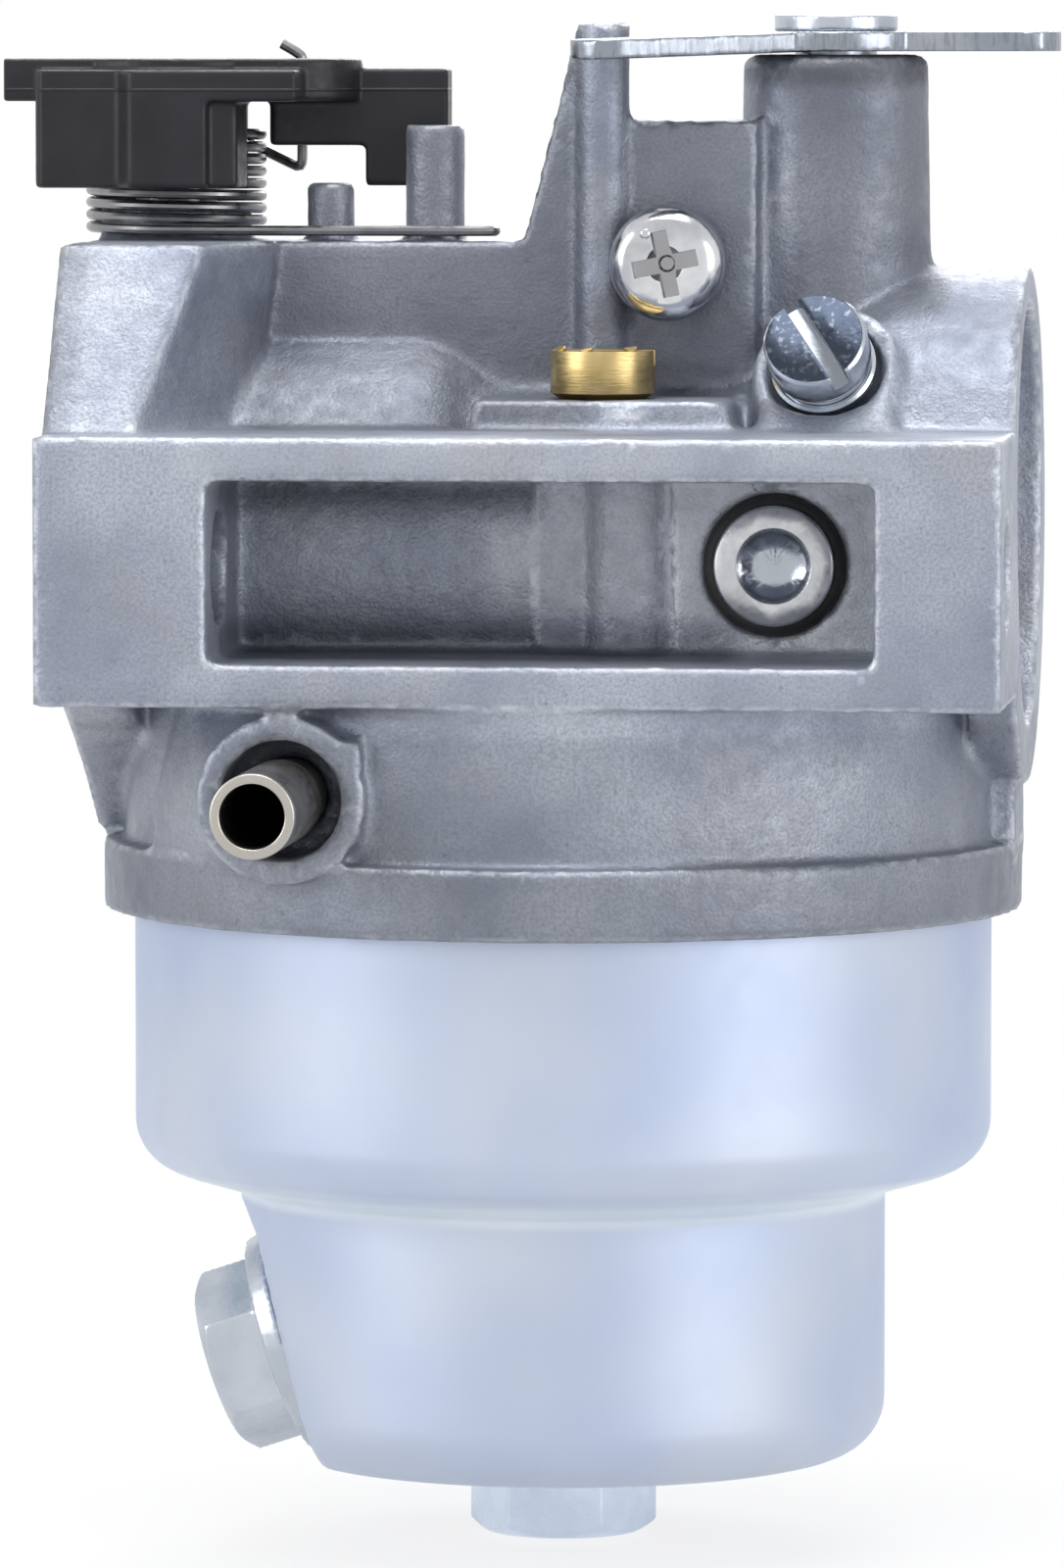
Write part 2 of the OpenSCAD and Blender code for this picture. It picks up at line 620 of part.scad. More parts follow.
module main_nozzle() color("#c9a24c") translate([bowl_x, 0, 0]) difference() {
    union() {
        rod_z(nozzle_r, nozzle_low, nozzle_top);
        rod_z(nozzle_r + 0.7, nozzle_low, nozzle_low + 1.2);
    }
    rod_z(1.1, nozzle_low - 1, nozzle_top + 1);
    for (z = [nozzle_low + 4:2.5:-17], a = [0, 90]) translate([0, 0, z]) rotate(a)
        rod_x(0.4, -5, 5);
}
module main_jet() color("#c9a24c") translate([bowl_x, 0, 0]) difference() {
    rod_z(jet_thread_r, jet_z, nozzle_low);
    rod_z(0.45, jet_z - 1, nozzle_low + 1);
    rod_z(1.2, jet_z + 2, nozzle_low + 1);
    translate([-4, -0.4, jet_z - 0.5]) cube([8, 0.8, 1.3]);
}
module pilot_jet() color("#c9a24c") translate([jet_pos[0], jet_pos[1], 0]) difference() {
    union() {
        rod_z(3.15, jet_pad_z + 0.35, jet_pad_z + 2.9);
        translate([0, 0, jet_pad_z]) cylinder(r1 = 2.6, r2 = 3.15, h = 0.36);
        rod_z(pilot_r, jet_pad_z - 3, jet_pad_z + 1);
        rod_z(pilot_r - 0.8, jet_pad_z - 5, jet_pad_z - 2);
        rod_z(pilot_r, 3, jet_pad_z - 4.6);
    }
    rod_z(0.6, 2, jet_pad_z + 1.5);
    translate([-4, -0.5, jet_pad_z + 2]) cube([8, 1, 2]);
}
module pilot_jet_oring() color("#222224")
    translate([jet_pos[0], jet_pos[1], jet_pad_z - 3.8]) o_ring(pilot_r - 0.4, 0.36);

// Pan-head screw with a cross recess; its head overlaps the pilot jet's and keeps it in.
module jet_retaining_screw() color("#d6d8dc") translate([pan_pos[0], wall_y, pan_pos[1]]) rotate([90, 0, 0]) {
    difference() {
        union() {
            translate([0, 0, pan_stand]) rotate_extrude() polygon(concat(
                [[0, 0], [pan_head_d / 2, 0]],
                arc(pan_head_d / 2 - 1.6, 1.2, 1.6, 0, 68, 5),
                [[0, 2.8]]));
            cylinder(r = 2.6, h = pan_stand);
            translate([0, 0, -6.1]) cylinder(r = 2, h = 6.2);
        }
        rotate(12) for (a = [0, 90]) rotate(a) translate([-2, -0.5, pan_stand + 1.3]) cube([4, 1, 3]);
        translate([0, 0, pan_stand + 1]) cylinder(r1 = 0.4, r2 = 1.3, h = 2.2);
    }
}

module air_jets() color("#c9a24c")
    for (a = air_jet_angles) rotate([a, 0, 0]) difference() {
        rod_x(air_jet_r, body_len - 6, body_len - 2.4, air_jet_y);
        rod_x(0.5, body_len - 7, body_len, air_jet_y);
    }

// ---- side plug ----

module side_plug() color("#c6c8cc") translate([plug_x, pad_y, 0]) rotate([90, 0, 0]) rotate_extrude()
    polygon([[0, -2.5], [plug_r, -2.5], [plug_r, -1.1], [plug_r - 0.5, -0.95],
        [plug_r - 0.5, 0.3], [plug_r, 0.4], [plug_r, 0.95], [plug_r - 0.15, 1.05], [2.25, 1.05],
        [2.1, 0.85], [1.2, 0.4], [0, 0.25]]);
module side_plug_oring() color("#222224") translate([plug_x, pad_y, 0]) rotate([90, 0, 0])
    rotate_extrude() translate([plug_r + 0.1, -0.24]) circle(r = 0.57, $fn = 24);

// ---- idle mixture screw ----

module mixture_screw() color("#ccd0d8") on_mix_axis() difference() {
    rotate_extrude() polygon([
        [0, -mix_len], [0.35, -mix_len + 0.2], [1.1, -mix_len + 1.4], [mix_thread_r, -mix_len + 1.6],
        [mix_thread_r, 0], [2.8, 0.1], [2.8, 0.3], [mix_neck_r, 0.4], [mix_neck_r, 1.2], [2.8, 1.3],
        [2.8, 1.6], [2.6, 1.7], [2.6, 1.9], [2.8, 2], [mix_head_d / 2, 2.2],
        [mix_head_d / 2, 4.2], [mix_head_d / 2 - 0.2, 4.4], [0, 4.4]]);
    rotate(-55) translate([-5, -0.5, 3.1]) cube([10, 1, 3]);
}
module mixture_screw_oring() color("#222224")
    on_mix_axis() translate([0, 0, 0.8]) o_ring(mix_neck_r + play + 0.4, 0.4);

// ---- shafts and plates ----

// A shaft along Z with a flat, facing `side`, where the plate sits.
module plated_shaft(x, bore_r, low, top, side) {
    difference() {
        rod_z(shaft_r, low, top, x);
        translate([x + (side > 0 ? 0 : -shaft_r - 1), -shaft_r - 1, -bore_r + 0.1])
            cube([shaft_r + 1, shaft_d + 2, 2 * bore_r - 0.2]);
        for (z = [-plate_screw_z, plate_screw_z])
            rod_x(plate_screw_r + snug, x - shaft_r - 1, x + shaft_r + 1, 0, z);
    }
}
module flap(x, bore_r, side) {
    difference() {
        rod_x(bore_r - plate_gap, x + (side > 0 ? 0 : -plate_t), x + (side > 0 ? plate_t : 0));
        for (z = [-plate_screw_z, plate_screw_z])
            rod_x(plate_screw_r + 0.15, x - 2, x + 2, 0, z);
    }
}
module flap_screws(x, side) {
    for (z = [-plate_screw_z, plate_screw_z]) translate([x, 0, z])
        rotate([0, side * 90, 0]) difference() {
        union() {
            translate([0, 0, plate_t]) cylinder(r1 = 2.4, r2 = 1.9, h = 1);
            translate([0, 0, -2]) cylinder(r = plate_screw_r, h = 2.1 + plate_t);
        }
        translate([-3, -0.3, plate_t + 0.5]) cube([6, 0.6, 2]);
    }
}

module throttle_shaft() color("#b9b6a8")
    plated_shaft(throttle_x, throttle_r, -duct_r + 2.2, lever_top - 1, -1);
module throttle_plate() color("#c9a24c") flap(throttle_x, throttle_r, -1);
module throttle_plate_screws() color("#c8cace") flap_screws(throttle_x, -1);
module throttle_shaft_seal() color("#222224") translate([throttle_x, 0, 0])
    ring(shaft_r + play, seal_r - snug, hub_seat_z - 1.4, hub_seat_z);

// Black plastic lever: plate, skirt in front of the spring, hub inside it, and the stop arm.
module throttle_lever() color("#2b2d31") translate([throttle_x, 0, 0]) difference() {
    union() {
        translate([0, 0, lever_mid]) linear_extrude(lever_plate_t) difference() {
            union() {
                translate([-11, -5]) square([18, 9.4]);
                translate([7.1, -0.4]) circle(r = 4.4);
                translate([3.3, -4.8]) square([4, 8.8]);
                circle(r = 6.6);
            }
            translate([-8, 1]) circle(r = 1.1);
        }
        translate([0, 0, lever_low]) linear_extrude(lever_top - 0.7 - lever_low) difference() {
            polygon([[-7.7, -4.5], [-7.7, -6.8], [-7.3, -7.2], [-2.6, -7.2], [-1.7, -8.3],
                [3, -8.3], [3, -7.4], [4.7, -6.9], [5, -4]]);
            circle(r = coil_out_r + 0.45);
        }
        translate([2.3, -8.3, lever_mid]) cube([6.2, 4, lever_plate_t - 0.7]);
        rod_z(shaft_r + 1.9, lever_low, lever_mid + EPS);
        translate([5.9, -1.1, lever_mid - 2.7]) cube([6, 2.5, lever_plate_t + 2.1]);
        translate([11.8, -1.1, lever_low + 0.1])
            cube([5.1, 2.5, lever_top - 0.6 - lever_low - 0.1]);
    }
    rod_z(shaft_r + snug, lever_low - 1, lever_top - 1);
    rod_z(0.75, lever_mid - 1, lever_top + 1, leg_hole[0], leg_hole[1]);
}

// Return spring: a coil round the shaft's collar, with a leg at each end.
spring_path = concat(
    [for (p = [[20.3, -3.8], [20.3, -4.7], [19.8, -5.4], [19, -coil_r - 0.2]])
        [throttle_x + p[0], p[1], spring_z0]],
    [for (i = [0:spring_seg * spring_coils + spring_lead])
        let (a = -90 - 360 * i / spring_seg)
        [throttle_x + coil_r * cos(a), coil_r * sin(a), spring_z0 + spring_pitch * i / spring_seg]],
    [for (p = [[-0.7, 0.3, -3.85], [-0.15, 0.05, -4.05], [0, 0, -3.4], [0, 0, 2.7],
               [-0.4, 0, 3], [-1.3, 0, 3.5]])
        [throttle_x + leg_hole[0] + p[0], leg_hole[1] + p[1], lever_mid + p[2]]]);
function unit(v) = v / norm(v);
function tangent(p, i) = unit(p[min(i + 1, len(p) - 1)] - p[max(i - 1, 0)]);
function side_of(t) = unit(cross(t, abs(t[2]) > 0.9 ? [0, 1, 0] : [0, 0, 1]));
module wire(p, r, n = 6) {
    rings = [for (i = [0:len(p) - 1]) let (t = tangent(p, i), u = side_of(t), v = cross(t, u))
        for (k = [0:n - 1]) p[i] + r * cos(360 * k / n) * u + r * sin(360 * k / n) * v];
    polyhedron(rings, concat(
        [[for (k = [0:n - 1]) k]],
        [for (i = [0:len(p) - 2], k = [0:n - 1])
            [i * n + k, (i + 1) * n + k, (i + 1) * n + (k + 1) % n, i * n + (k + 1) % n]],
        [[for (k = [n - 1:-1:0]) (len(p) - 1) * n + k]]));
}
module throttle_spring() color("#55565a") wire(spring_path, spring_wire_d / 2);

module choke_shaft() color("#c8cace") {
    plated_shaft(choke_x, choke_r, -choke_r - 2.2, choke_lever_z + choke_lever_t, 1);
    rod_z(3.75, choke_lever_z + choke_lever_t, choke_lever_z + choke_lever_t + 1, choke_x);
}
module choke_plate() color("#c9a24c") flap(choke_x, choke_r, 1);
module choke_plate_screws() color("#c8cace") flap_screws(choke_x, 1);
module choke_shaft_seal() color("#222224") translate([choke_x, 0, 0])
    ring(shaft_r + play, seal_r - snug, tower_z - 1.6, tower_z - 0.1);

// Steel choke lever: a pad on the shaft, an outer arm, and a stop arm that meets the rib.
module choke_lever() color("#c3c8d2") translate([choke_x, 0, choke_lever_z]) difference() {
    union() {
        linear_extrude(choke_lever_t) {
            circle(r = 5.4);
            translate([0, -3]) square([choke_lever_reach - 3, 6]);
            translate([choke_lever_reach - 3, 0]) circle(r = 3);
        }
        rotate(atan2(stop_arm[1], stop_arm[0])) translate([2.6, 0, 0]) rotate([0, stop_arm_dip, 0])
            linear_extrude(choke_lever_t) {
                translate([0, -2.4]) square([norm(stop_arm) - 2.6, 4.8]);
                translate([norm(stop_arm) - 2.6, 0]) circle(r = 2.4);
            }
    }
    translate([0, 0, -1]) cylinder(r = shaft_r + snug, h = 4);
    translate([choke_lever_reach - 3, 0, -1]) cylinder(r = 1.3, h = 4);
}

main_body();
float_bowl();
bowl_gasket();
bowl_bolt();
bowl_bolt_washer();
drain_bolt();
drain_washer();
drain_bush();
fuel_inlet_pipe();
float();
float_pin();
needle_seat();
float_needle();
needle_tip();
needle_clip();
main_nozzle();
main_jet();
pilot_jet();
pilot_jet_oring();
jet_retaining_screw();
air_jets();
side_plug();
side_plug_oring();
mixture_screw();
mixture_screw_oring();
throttle_shaft();
throttle_plate();
throttle_plate_screws();
throttle_lever();
throttle_spring();
throttle_shaft_seal();
choke_shaft();
choke_plate();
choke_plate_screws();
choke_lever();
choke_shaft_seal();
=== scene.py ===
import json
import math

import bmesh
import bpy
from mathutils import Matrix, Vector, kdtree, noise


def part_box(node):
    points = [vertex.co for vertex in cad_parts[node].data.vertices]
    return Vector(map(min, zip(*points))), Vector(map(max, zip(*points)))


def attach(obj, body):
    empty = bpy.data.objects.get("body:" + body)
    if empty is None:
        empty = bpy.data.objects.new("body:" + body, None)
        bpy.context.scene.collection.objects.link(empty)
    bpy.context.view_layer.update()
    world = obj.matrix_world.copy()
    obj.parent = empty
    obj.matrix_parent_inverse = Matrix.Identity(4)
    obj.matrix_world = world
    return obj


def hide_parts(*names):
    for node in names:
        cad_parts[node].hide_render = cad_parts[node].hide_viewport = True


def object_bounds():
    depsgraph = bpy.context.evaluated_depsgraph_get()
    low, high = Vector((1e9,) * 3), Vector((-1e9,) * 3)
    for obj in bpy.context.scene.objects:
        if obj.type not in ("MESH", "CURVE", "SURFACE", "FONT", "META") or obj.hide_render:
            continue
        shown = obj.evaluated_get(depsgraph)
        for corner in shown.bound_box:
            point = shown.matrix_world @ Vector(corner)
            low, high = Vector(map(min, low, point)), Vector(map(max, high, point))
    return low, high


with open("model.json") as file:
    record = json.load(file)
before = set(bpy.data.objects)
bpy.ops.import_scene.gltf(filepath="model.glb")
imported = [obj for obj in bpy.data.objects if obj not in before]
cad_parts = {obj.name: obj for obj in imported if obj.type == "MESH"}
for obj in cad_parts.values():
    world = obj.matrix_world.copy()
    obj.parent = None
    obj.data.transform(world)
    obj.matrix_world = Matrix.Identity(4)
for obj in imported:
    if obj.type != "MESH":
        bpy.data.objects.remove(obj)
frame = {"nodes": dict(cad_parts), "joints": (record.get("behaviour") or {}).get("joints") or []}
cad_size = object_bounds()
scene = bpy.context.scene
scene.view_settings.view_transform = "Standard"

# ---- Bench camera ----
# A long lens on a stand, a little above the parting face and a little to the pipe's side, so
# that the fuel pipe, the bowl bolt and both levers all face it.
look_at = Vector((0.02666, 0.0, -0.0143))
toward_camera = Vector((0.10944, -0.99129, 0.07324)).normalized()
camera_right = Vector((0.99396, 0.10973, 0.0)).normalized()
camera_up = toward_camera.cross(camera_right).normalized()
camera_right = camera_up.cross(toward_camera).normalized()
camera_away = 0.626
lens_data = bpy.data.cameras.new("bench_camera")
lens_data.sensor_fit = "VERTICAL"
lens_data.sensor_height = 36
lens_data.lens = 234
lens_data.clip_start = 0.01
lens_data.clip_end = 10
camera = bpy.data.objects.new("bench_camera", lens_data)
camera.matrix_world = Matrix.Translation(look_at + toward_camera * camera_away) @ Matrix(
    (camera_right, camera_up, toward_camera)).transposed().to_4x4()
scene.collection.objects.link(camera)
scene.camera = camera

# ---- White photo table ----
# A white sheet under the part and plain white all round. The table shades softly under the
# bowl and fades into the white further out.
table_z = cad_size[0][2] - 0.0004


def material_tree(name):
    """A new node material, emptied, with its tree and its output node."""
    made = bpy.data.materials.new(name)
    made.use_nodes = True
    made.node_tree.nodes.clear()
    return made, made.node_tree, made.node_tree.nodes.new("ShaderNodeOutputMaterial")


def wire(tree, source, target):
    tree.links.new(source, target)


def maths(tree, operation, first, second):
    """A sum, product or other of two numbers, each a plain number or an output."""
    node = tree.nodes.new("ShaderNodeMath")
    node.operation = operation
    for socket, source in zip(node.inputs, (first, second)):
        if isinstance(source, (int, float)):
            socket.default_value = source
        else:
            wire(tree, source, socket)
    return node.outputs[0]


def seen_directly(tree):
    """1 where the camera, a mirror or a clear surface looks at this, else 0."""
    rays = tree.nodes.new("ShaderNodeLightPath")
    first = maths(tree, "MAXIMUM", rays.outputs["Is Camera Ray"], rays.outputs["Is Glossy Ray"])
    return maths(tree, "MAXIMUM", first, rays.outputs["Is Transmission Ray"])


sheet = bmesh.new()
bmesh.ops.create_circle(sheet, cap_ends=True, segments=96, radius=3.0)
bmesh.ops.translate(sheet, verts=sheet.verts, vec=(look_at.x, 0, table_z))
sheet_data = bpy.data.meshes.new("photo_table")
sheet.to_mesh(sheet_data)
sheet.free()
photo_table = bpy.data.objects.new("photo_table", sheet_data)
scene.collection.objects.link(photo_table)
paper, tree, out = material_tree("white_paper")
matt = tree.nodes.new("ShaderNodeBsdfDiffuse")
matt.inputs["Color"].default_value = (0.93, 0.93, 0.93, 1)
glow = tree.nodes.new("ShaderNodeEmission")
glow.inputs["Color"].default_value = (1, 1, 1, 1)
place = tree.nodes.new("ShaderNodeTexCoord")
away = tree.nodes.new("ShaderNodeVectorMath")
away.operation = "DISTANCE"
wire(tree, place.outputs["Object"], away.inputs[0])
away.inputs[1].default_value = (look_at.x, 0, table_z)
fade = tree.nodes.new("ShaderNodeMapRange")
fade.interpolation_type = "SMOOTHSTEP"
fade.inputs["From Min"].default_value = 0.025
fade.inputs["From Max"].default_value = 0.14
fade.inputs["To Min"].default_value = 0.80
wire(tree, away.outputs["Value"], fade.inputs["Value"])
blend = tree.nodes.new("ShaderNodeMixShader")
wire(tree, maths(tree, "MULTIPLY", fade.outputs["Result"], seen_directly(tree)),
     blend.inputs["Fac"])
wire(tree, matt.outputs[0], blend.inputs[1])
wire(tree, glow.outputs[0], blend.inputs[2])
wire(tree, blend.outputs[0], out.inputs["Surface"])
sheet_data.materials.append(paper)

surround = bpy.data.worlds.new("white_surround")
scene.world = surround
surround.use_nodes = True
tree = surround.node_tree
tree.nodes.clear()
out = tree.nodes.new("ShaderNodeOutputWorld")
dim = tree.nodes.new("ShaderNodeBackground")
dim.inputs["Color"].default_value = (0.92, 0.95, 1.0, 1)
dim.inputs["Strength"].default_value = 0.30
white = tree.nodes.new("ShaderNodeBackground")
white.inputs["Color"].default_value = (1, 1, 1, 1)
blend = tree.nodes.new("ShaderNodeMixShader")
wire(tree, seen_directly(tree), blend.inputs["Fac"])
wire(tree, dim.outputs[0], blend.inputs[1])
wire(tree, white.outputs[0], blend.inputs[2])
wire(tree, blend.outputs[0], out.inputs["Surface"])

# ---- Soft lamps ----
# A wide soft box above and behind the camera, weaker ones at both sides, and one behind the
# part that lights its far side.
for name, place, size, watts in (
        ("top_box", (0.02, -0.10, 0.70), 0.60, 4.3),
        ("left_box", (-0.62, -0.42, 0.22), 0.50, 2.1),
        ("right_box", (0.66, -0.38, 0.10), 0.50, 2.0),
        ("back_box", (0.05, 0.62, 0.40), 0.50, 3.0)):
    lamp = bpy.data.lights.new(name, "AREA")
    lamp.shape = "DISK"
    lamp.size = size
    lamp.energy = watts
    stand = bpy.data.objects.new(name, lamp)
    stand.matrix_world = Matrix.Translation(place) @ (
        Vector(place) - look_at).to_track_quat("Z", "Y").to_matrix().to_4x4()
    scene.collection.objects.link(stand)

# ---- Body casting ----
# One pressure die casting of zinc-aluminium alloy: duct, bars for the two studs, chamber roof,
# towers and bosses. It leaves the die with soft corners, a fine grain and rough parting edges,
# and only its bores and its two end faces are machined.


def copy_of(node, merge=2e-6):
    """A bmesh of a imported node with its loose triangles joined."""
    mesh = bmesh.new()
    mesh.from_mesh(frame["nodes"][node].data)
    bmesh.ops.remove_doubles(mesh, verts=mesh.verts, dist=merge)
    return mesh


def settled(obj, *steps):
    """Applies modifiers, each given as a type and its settings, to an object's mesh."""
    for kind, settings in steps:
        modifier = obj.modifiers.new(kind.lower(), kind)
        for key, value in settings.items():
            setattr(modifier, key, value)
    shaped = bpy.data.meshes.new_from_object(
        obj.evaluated_get(bpy.context.evaluated_depsgraph_get()))
    obj.modifiers.clear()
    old = obj.data
    obj.data = shaped
    bpy.data.meshes.remove(old)
    return obj


def corner_points(mesh, angle, gap):
    """Points along the outer edges of a bmesh that fold by more than angle, gap apart."""
    found = []
    for edge in mesh.edges:
        if len(edge.link_faces) != 2 or edge.calc_face_angle_signed(0) < angle:
            continue
        a, b = edge.verts[0].co, edge.verts[1].co
        count = max(1, round((b - a).length / gap))
        for i in range(count + 1):
            found.append(a.lerp(b, i / count))
    return found


def within(point, low, high, soft):
    """1 inside a box given in mm, falling to 0 over soft mm outside it."""
    share = 1.0
    for value, least, most in zip(point, low, high):
        out_by = max(least - value * 1000, value * 1000 - most, 0)
        share = min(share, max(0.0, 1 - out_by / soft))
    return share


air_face_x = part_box("main_body")[1].x
rough = copy_of("main_body")
# The step inside the air mouth is bored, so its corners carry no burr and no pale edge line of
# wear and painted highlight.
step_near, step_far, step_inner, step_outer = 0.001, 0.008, 0.0145, 0.0178
corners = [point for point in corner_points(rough, 0.6, 0.0003)
           if not (step_near < air_face_x - point.x < step_far
                   and step_inner < math.hypot(point.y, point.z) < step_outer)]
rough_data = bpy.data.meshes.new("body_casting")
rough.to_mesh(rough_data)
rough.free()
casting = bpy.data.objects.new("body_casting", rough_data)
scene.collection.objects.link(casting)
settled(casting, ("REMESH", {"mode": "VOXEL", "voxel_size": 0.00029}))

nearest_corner = kdtree.KDTree(len(corners))
for number, point in enumerate(corners):
    nearest_corner.insert(point, number)
nearest_corner.balance()

as_cast = casting.vertex_groups.new(name="as_cast")
blended = casting.vertex_groups.new(name="blended")
unseen = casting.vertex_groups.new(name="unseen")
bowl_low, bowl_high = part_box("float_bowl")
bowl_x = (bowl_low.x + bowl_high.x) / 2
# The next three lists hold boxes in mm: a low corner, a high corner, and how softly each one
# ends. Edges are torn where the die halves and the slides met.
torn_zones = (
    ((23.0, -7.0, 19.0), (34.0, -3.0, 33.0), 0.5),
    ((33.0, -7.0, 25.5), (41.5, -3.0, 28.0), 0.5),
    ((49.0, -16.0, 13.5), (58.0, 6.0, 19.5), 0.5),
    ((-1.0, -14.0, 18.2), (12.0, -4.0, 20.0), 0.4))
# Boxes painted darker or paler: painted shade on walls deep between the bars, in the window and
# under the bars, and painted light on faces that show bright. The last number is the share of
# brightness left, and a number over 1 is paler.
painted_light_and_shade_zones = (
    ((8.0, -6.5, 10.0), (41.0, -4.0, 33.0), 0.8, 0.73),
    ((-1.0, -30.0, -21.8), (60.0, 30.0, -17.9), 0.6, 0.77),
    ((-1.0, -30.0, -17.3), (60.0, 30.0, -10.0), 0.6, 0.87),
    ((10.9, -20.5, 4.0), (28.0, -8.0, 6.6), 1.6, 0.66),
    ((10.9, -20.5, -6.6), (40.0, -8.0, -4.4), 1.4, 0.62),
    ((36.8, -17.0, -5.5), (50.0, -13.0, 6.6), 0.8, 1.15),
    ((26.5, -17.0, -4.0), (35.5, -8.0, 4.0), 1.5, 1.10),
    ((9.0, -30.0, -9.0), (51.0, -23.5, -5.9), 0.8, 1.02),
    ((9.0, -30.0, 6.2), (51.0, -23.5, 9.0), 0.8, 1.06),
    ((-1.0, -24.0, 8.0), (1.2, -12.0, 19.0), 0.9, 0.80),
    ((39.0, -8.0, 12.0), (41.8, 8.0, 33.0), 1.0, 1.04),
    ((43.4, -8.0, 12.0), (52.0, 8.0, 33.0), 1.0, 0.70),
    ((38.0, -9.0, 28.8), (53.0, 9.0, 31.0), 0.5, 0.72),
    ((11.5, -16.0, 7.0), (31.0, -8.0, 15.0), 1.5, 0.70))
# Corners between the duct, the towers and the deck run together in wide fillets.
blend_zones = (
    ((11.0, -17.5, 8.6), (23.5, -8.2, 15.0), 1.5),
    ((22.0, -12.5, -6.2), (36.0, -8.0, 6.2), 1.5),
    ((1.5, -22.5, 9.2), (13.5, -7.5, 18.2), 1.2),
    ((37.0, -10.5, 12.5), (44.5, -5.5, 16.5), 1.5),
    ((47.0, -10.5, 14.0), (55.5, 7.0, 20.5), 1.5),
    ((39.5, -16.5, 8.8), (51.5, -9.0, 12.5), 1.2),
    ((4.0, -22.0, -16.5), (15.0, -15.0, -9.2), 1.2))
cut_depth, bore_r = 0.00025, 0.0102


def machined(point):
    """True on the two end faces and in the main bore, which a tool has cut."""
    ends = point.x < cut_depth or point.x > air_face_x - cut_depth
    return ends or math.hypot(point.y, point.z) < bore_r


# Inside the float chamber and deep in the duct the mesh is thinned out.
chamber_top, chamber_r, duct_r, duct_start, duct_end = -0.0108, 0.0240, 0.0100, 0.006, 0.010
for vertex in casting.data.vertices:
    x, y, z = vertex.co
    cut = machined(vertex.co)
    as_cast.add([vertex.index], 0.12 if cut else 1.0, "REPLACE")
    share = max(within(vertex.co, *zone) for zone in blend_zones)
    if share > 0:
        blended.add([vertex.index], share, "REPLACE")
    inside = z < chamber_top and math.hypot(x - bowl_x, y) < chamber_r
    inside = inside or (math.hypot(y, z) < duct_r and duct_start < x < air_face_x - duct_end)
    unseen.add([vertex.index], 1.0 if inside else 0.10, "REPLACE")
settled(casting, ("SMOOTH", {"factor": 0.5, "iterations": 5, "vertex_group": "as_cast"}),
        ("SMOOTH", {"factor": 0.5, "iterations": 26, "vertex_group": "blended"}))

edge_reach = 0.0006
outward = [vertex.normal.copy() for vertex in casting.data.vertices]
for vertex, normal in zip(casting.data.vertices, outward):
    point = vertex.co.copy()
    wave = noise.noise(point * 420) * 0.00003 + noise.noise(point * 1300) * 0.000015
    near = max(0.0, 1 - nearest_corner.find(point)[2] / edge_reach)
    torn = max(within(point, *zone) for zone in torn_zones)
    burr = (noise.noise(point * 2100) + 0.10) * (0.00012 + 0.00026 * torn) * near
    vertex.co = point + normal * (wave + burr) * (0.1 if machined(point) else 1.0)
settled(casting, ("DECIMATE", {"ratio": 0.24, "vertex_group": "unseen"}))

# The first layer holds how near a corner each point lies, for paler edges that are partly wear
# and partly a painted highlight.
worn = casting.data.attributes.new("corner", "FLOAT", "POINT")
# The second layer holds each point's share of brightness from the boxes: painted shade under 1,
# painted light over 1.
painted_light_and_shade = casting.data.attributes.new("painted_light_and_shade", "FLOAT", "POINT")
for vertex in casting.data.vertices:
    from_edge = nearest_corner.find(vertex.co)[2]
    worn.data[vertex.index].value = max(0.0, 1 - from_edge / edge_reach)
    kept = 1.0
    for low, high, soft, share in painted_light_and_shade_zones:
        kept *= 1 - (1 - share) * within(vertex.co, low, high, soft)
    painted_light_and_shade.data[vertex.index].value = kept


def principled(tree, out, colour, metallic, roughness):
    """A surface shader with its colour, its share of metal and its roughness."""
    shader = tree.nodes.new("ShaderNodeBsdfPrincipled")
    shader.inputs["Base Color"].default_value = (*colour, 1)
    shader.inputs["Metallic"].default_value = metallic
    shader.inputs["Roughness"].default_value = roughness
    wire(tree, shader.outputs[0], out.inputs["Surface"])
    return shader


def grain(tree, per_mm, detail=3.0, stretch=(1, 1, 1)):
    """Noise on Object coordinates with about per_mm grains to a millimetre."""
    spot = tree.nodes.new("ShaderNodeTexCoord")
    mapping = tree.nodes.new("ShaderNodeMapping")
    mapping.inputs["Scale"].default_value = [per_mm * 1000 * k for k in stretch]
    speck = tree.nodes.new("ShaderNodeTexNoise")
    speck.inputs["Scale"].default_value = 1.0
    speck.inputs["Detail"].default_value = detail
    wire(tree, spot.outputs["Object"], mapping.inputs["Vector"])
    wire(tree, mapping.outputs["Vector"], speck.inputs["Vector"])
    return speck.outputs["Fac"]


def between(tree, value, low, high, to_low, to_high):
    """Value scaled from low..high to to_low..to_high, held at the ends."""
    scale = tree.nodes.new("ShaderNodeMapRange")
    scale.inputs["From Min"].default_value = low
    scale.inputs["From Max"].default_value = high
    scale.inputs["To Min"].default_value = to_low
    scale.inputs["To Max"].default_value = to_high
    wire(tree, value, scale.inputs["Value"])
    return scale.outputs["Result"]


def tinted(tree, value, *stops):
    """Colour picked by value from (place, (r, g, b)) stops."""
    ramp = tree.nodes.new("ShaderNodeValToRGB")
    while len(ramp.color_ramp.elements) < len(stops):
        ramp.color_ramp.elements.new(0.5)
    for element, (place, colour) in zip(ramp.color_ramp.elements, stops):
        element.position = place
        element.color = (*colour, 1)
    wire(tree, value, ramp.inputs["Fac"])
    return ramp.outputs["Color"]


def mixed(tree, amount, first, second):
    """Two colours mixed by amount, each a plain colour or an output."""
    mix = tree.nodes.new("ShaderNodeMix")
    mix.data_type = "RGBA"
    wire(tree, amount, mix.inputs["Factor"])
    for socket, source in ((mix.inputs[6], first), (mix.inputs[7], second)):
        if isinstance(source, tuple):
            socket.default_value = (*source, 1)
        else:
            wire(tree, source, socket)
    return mix.outputs[2]


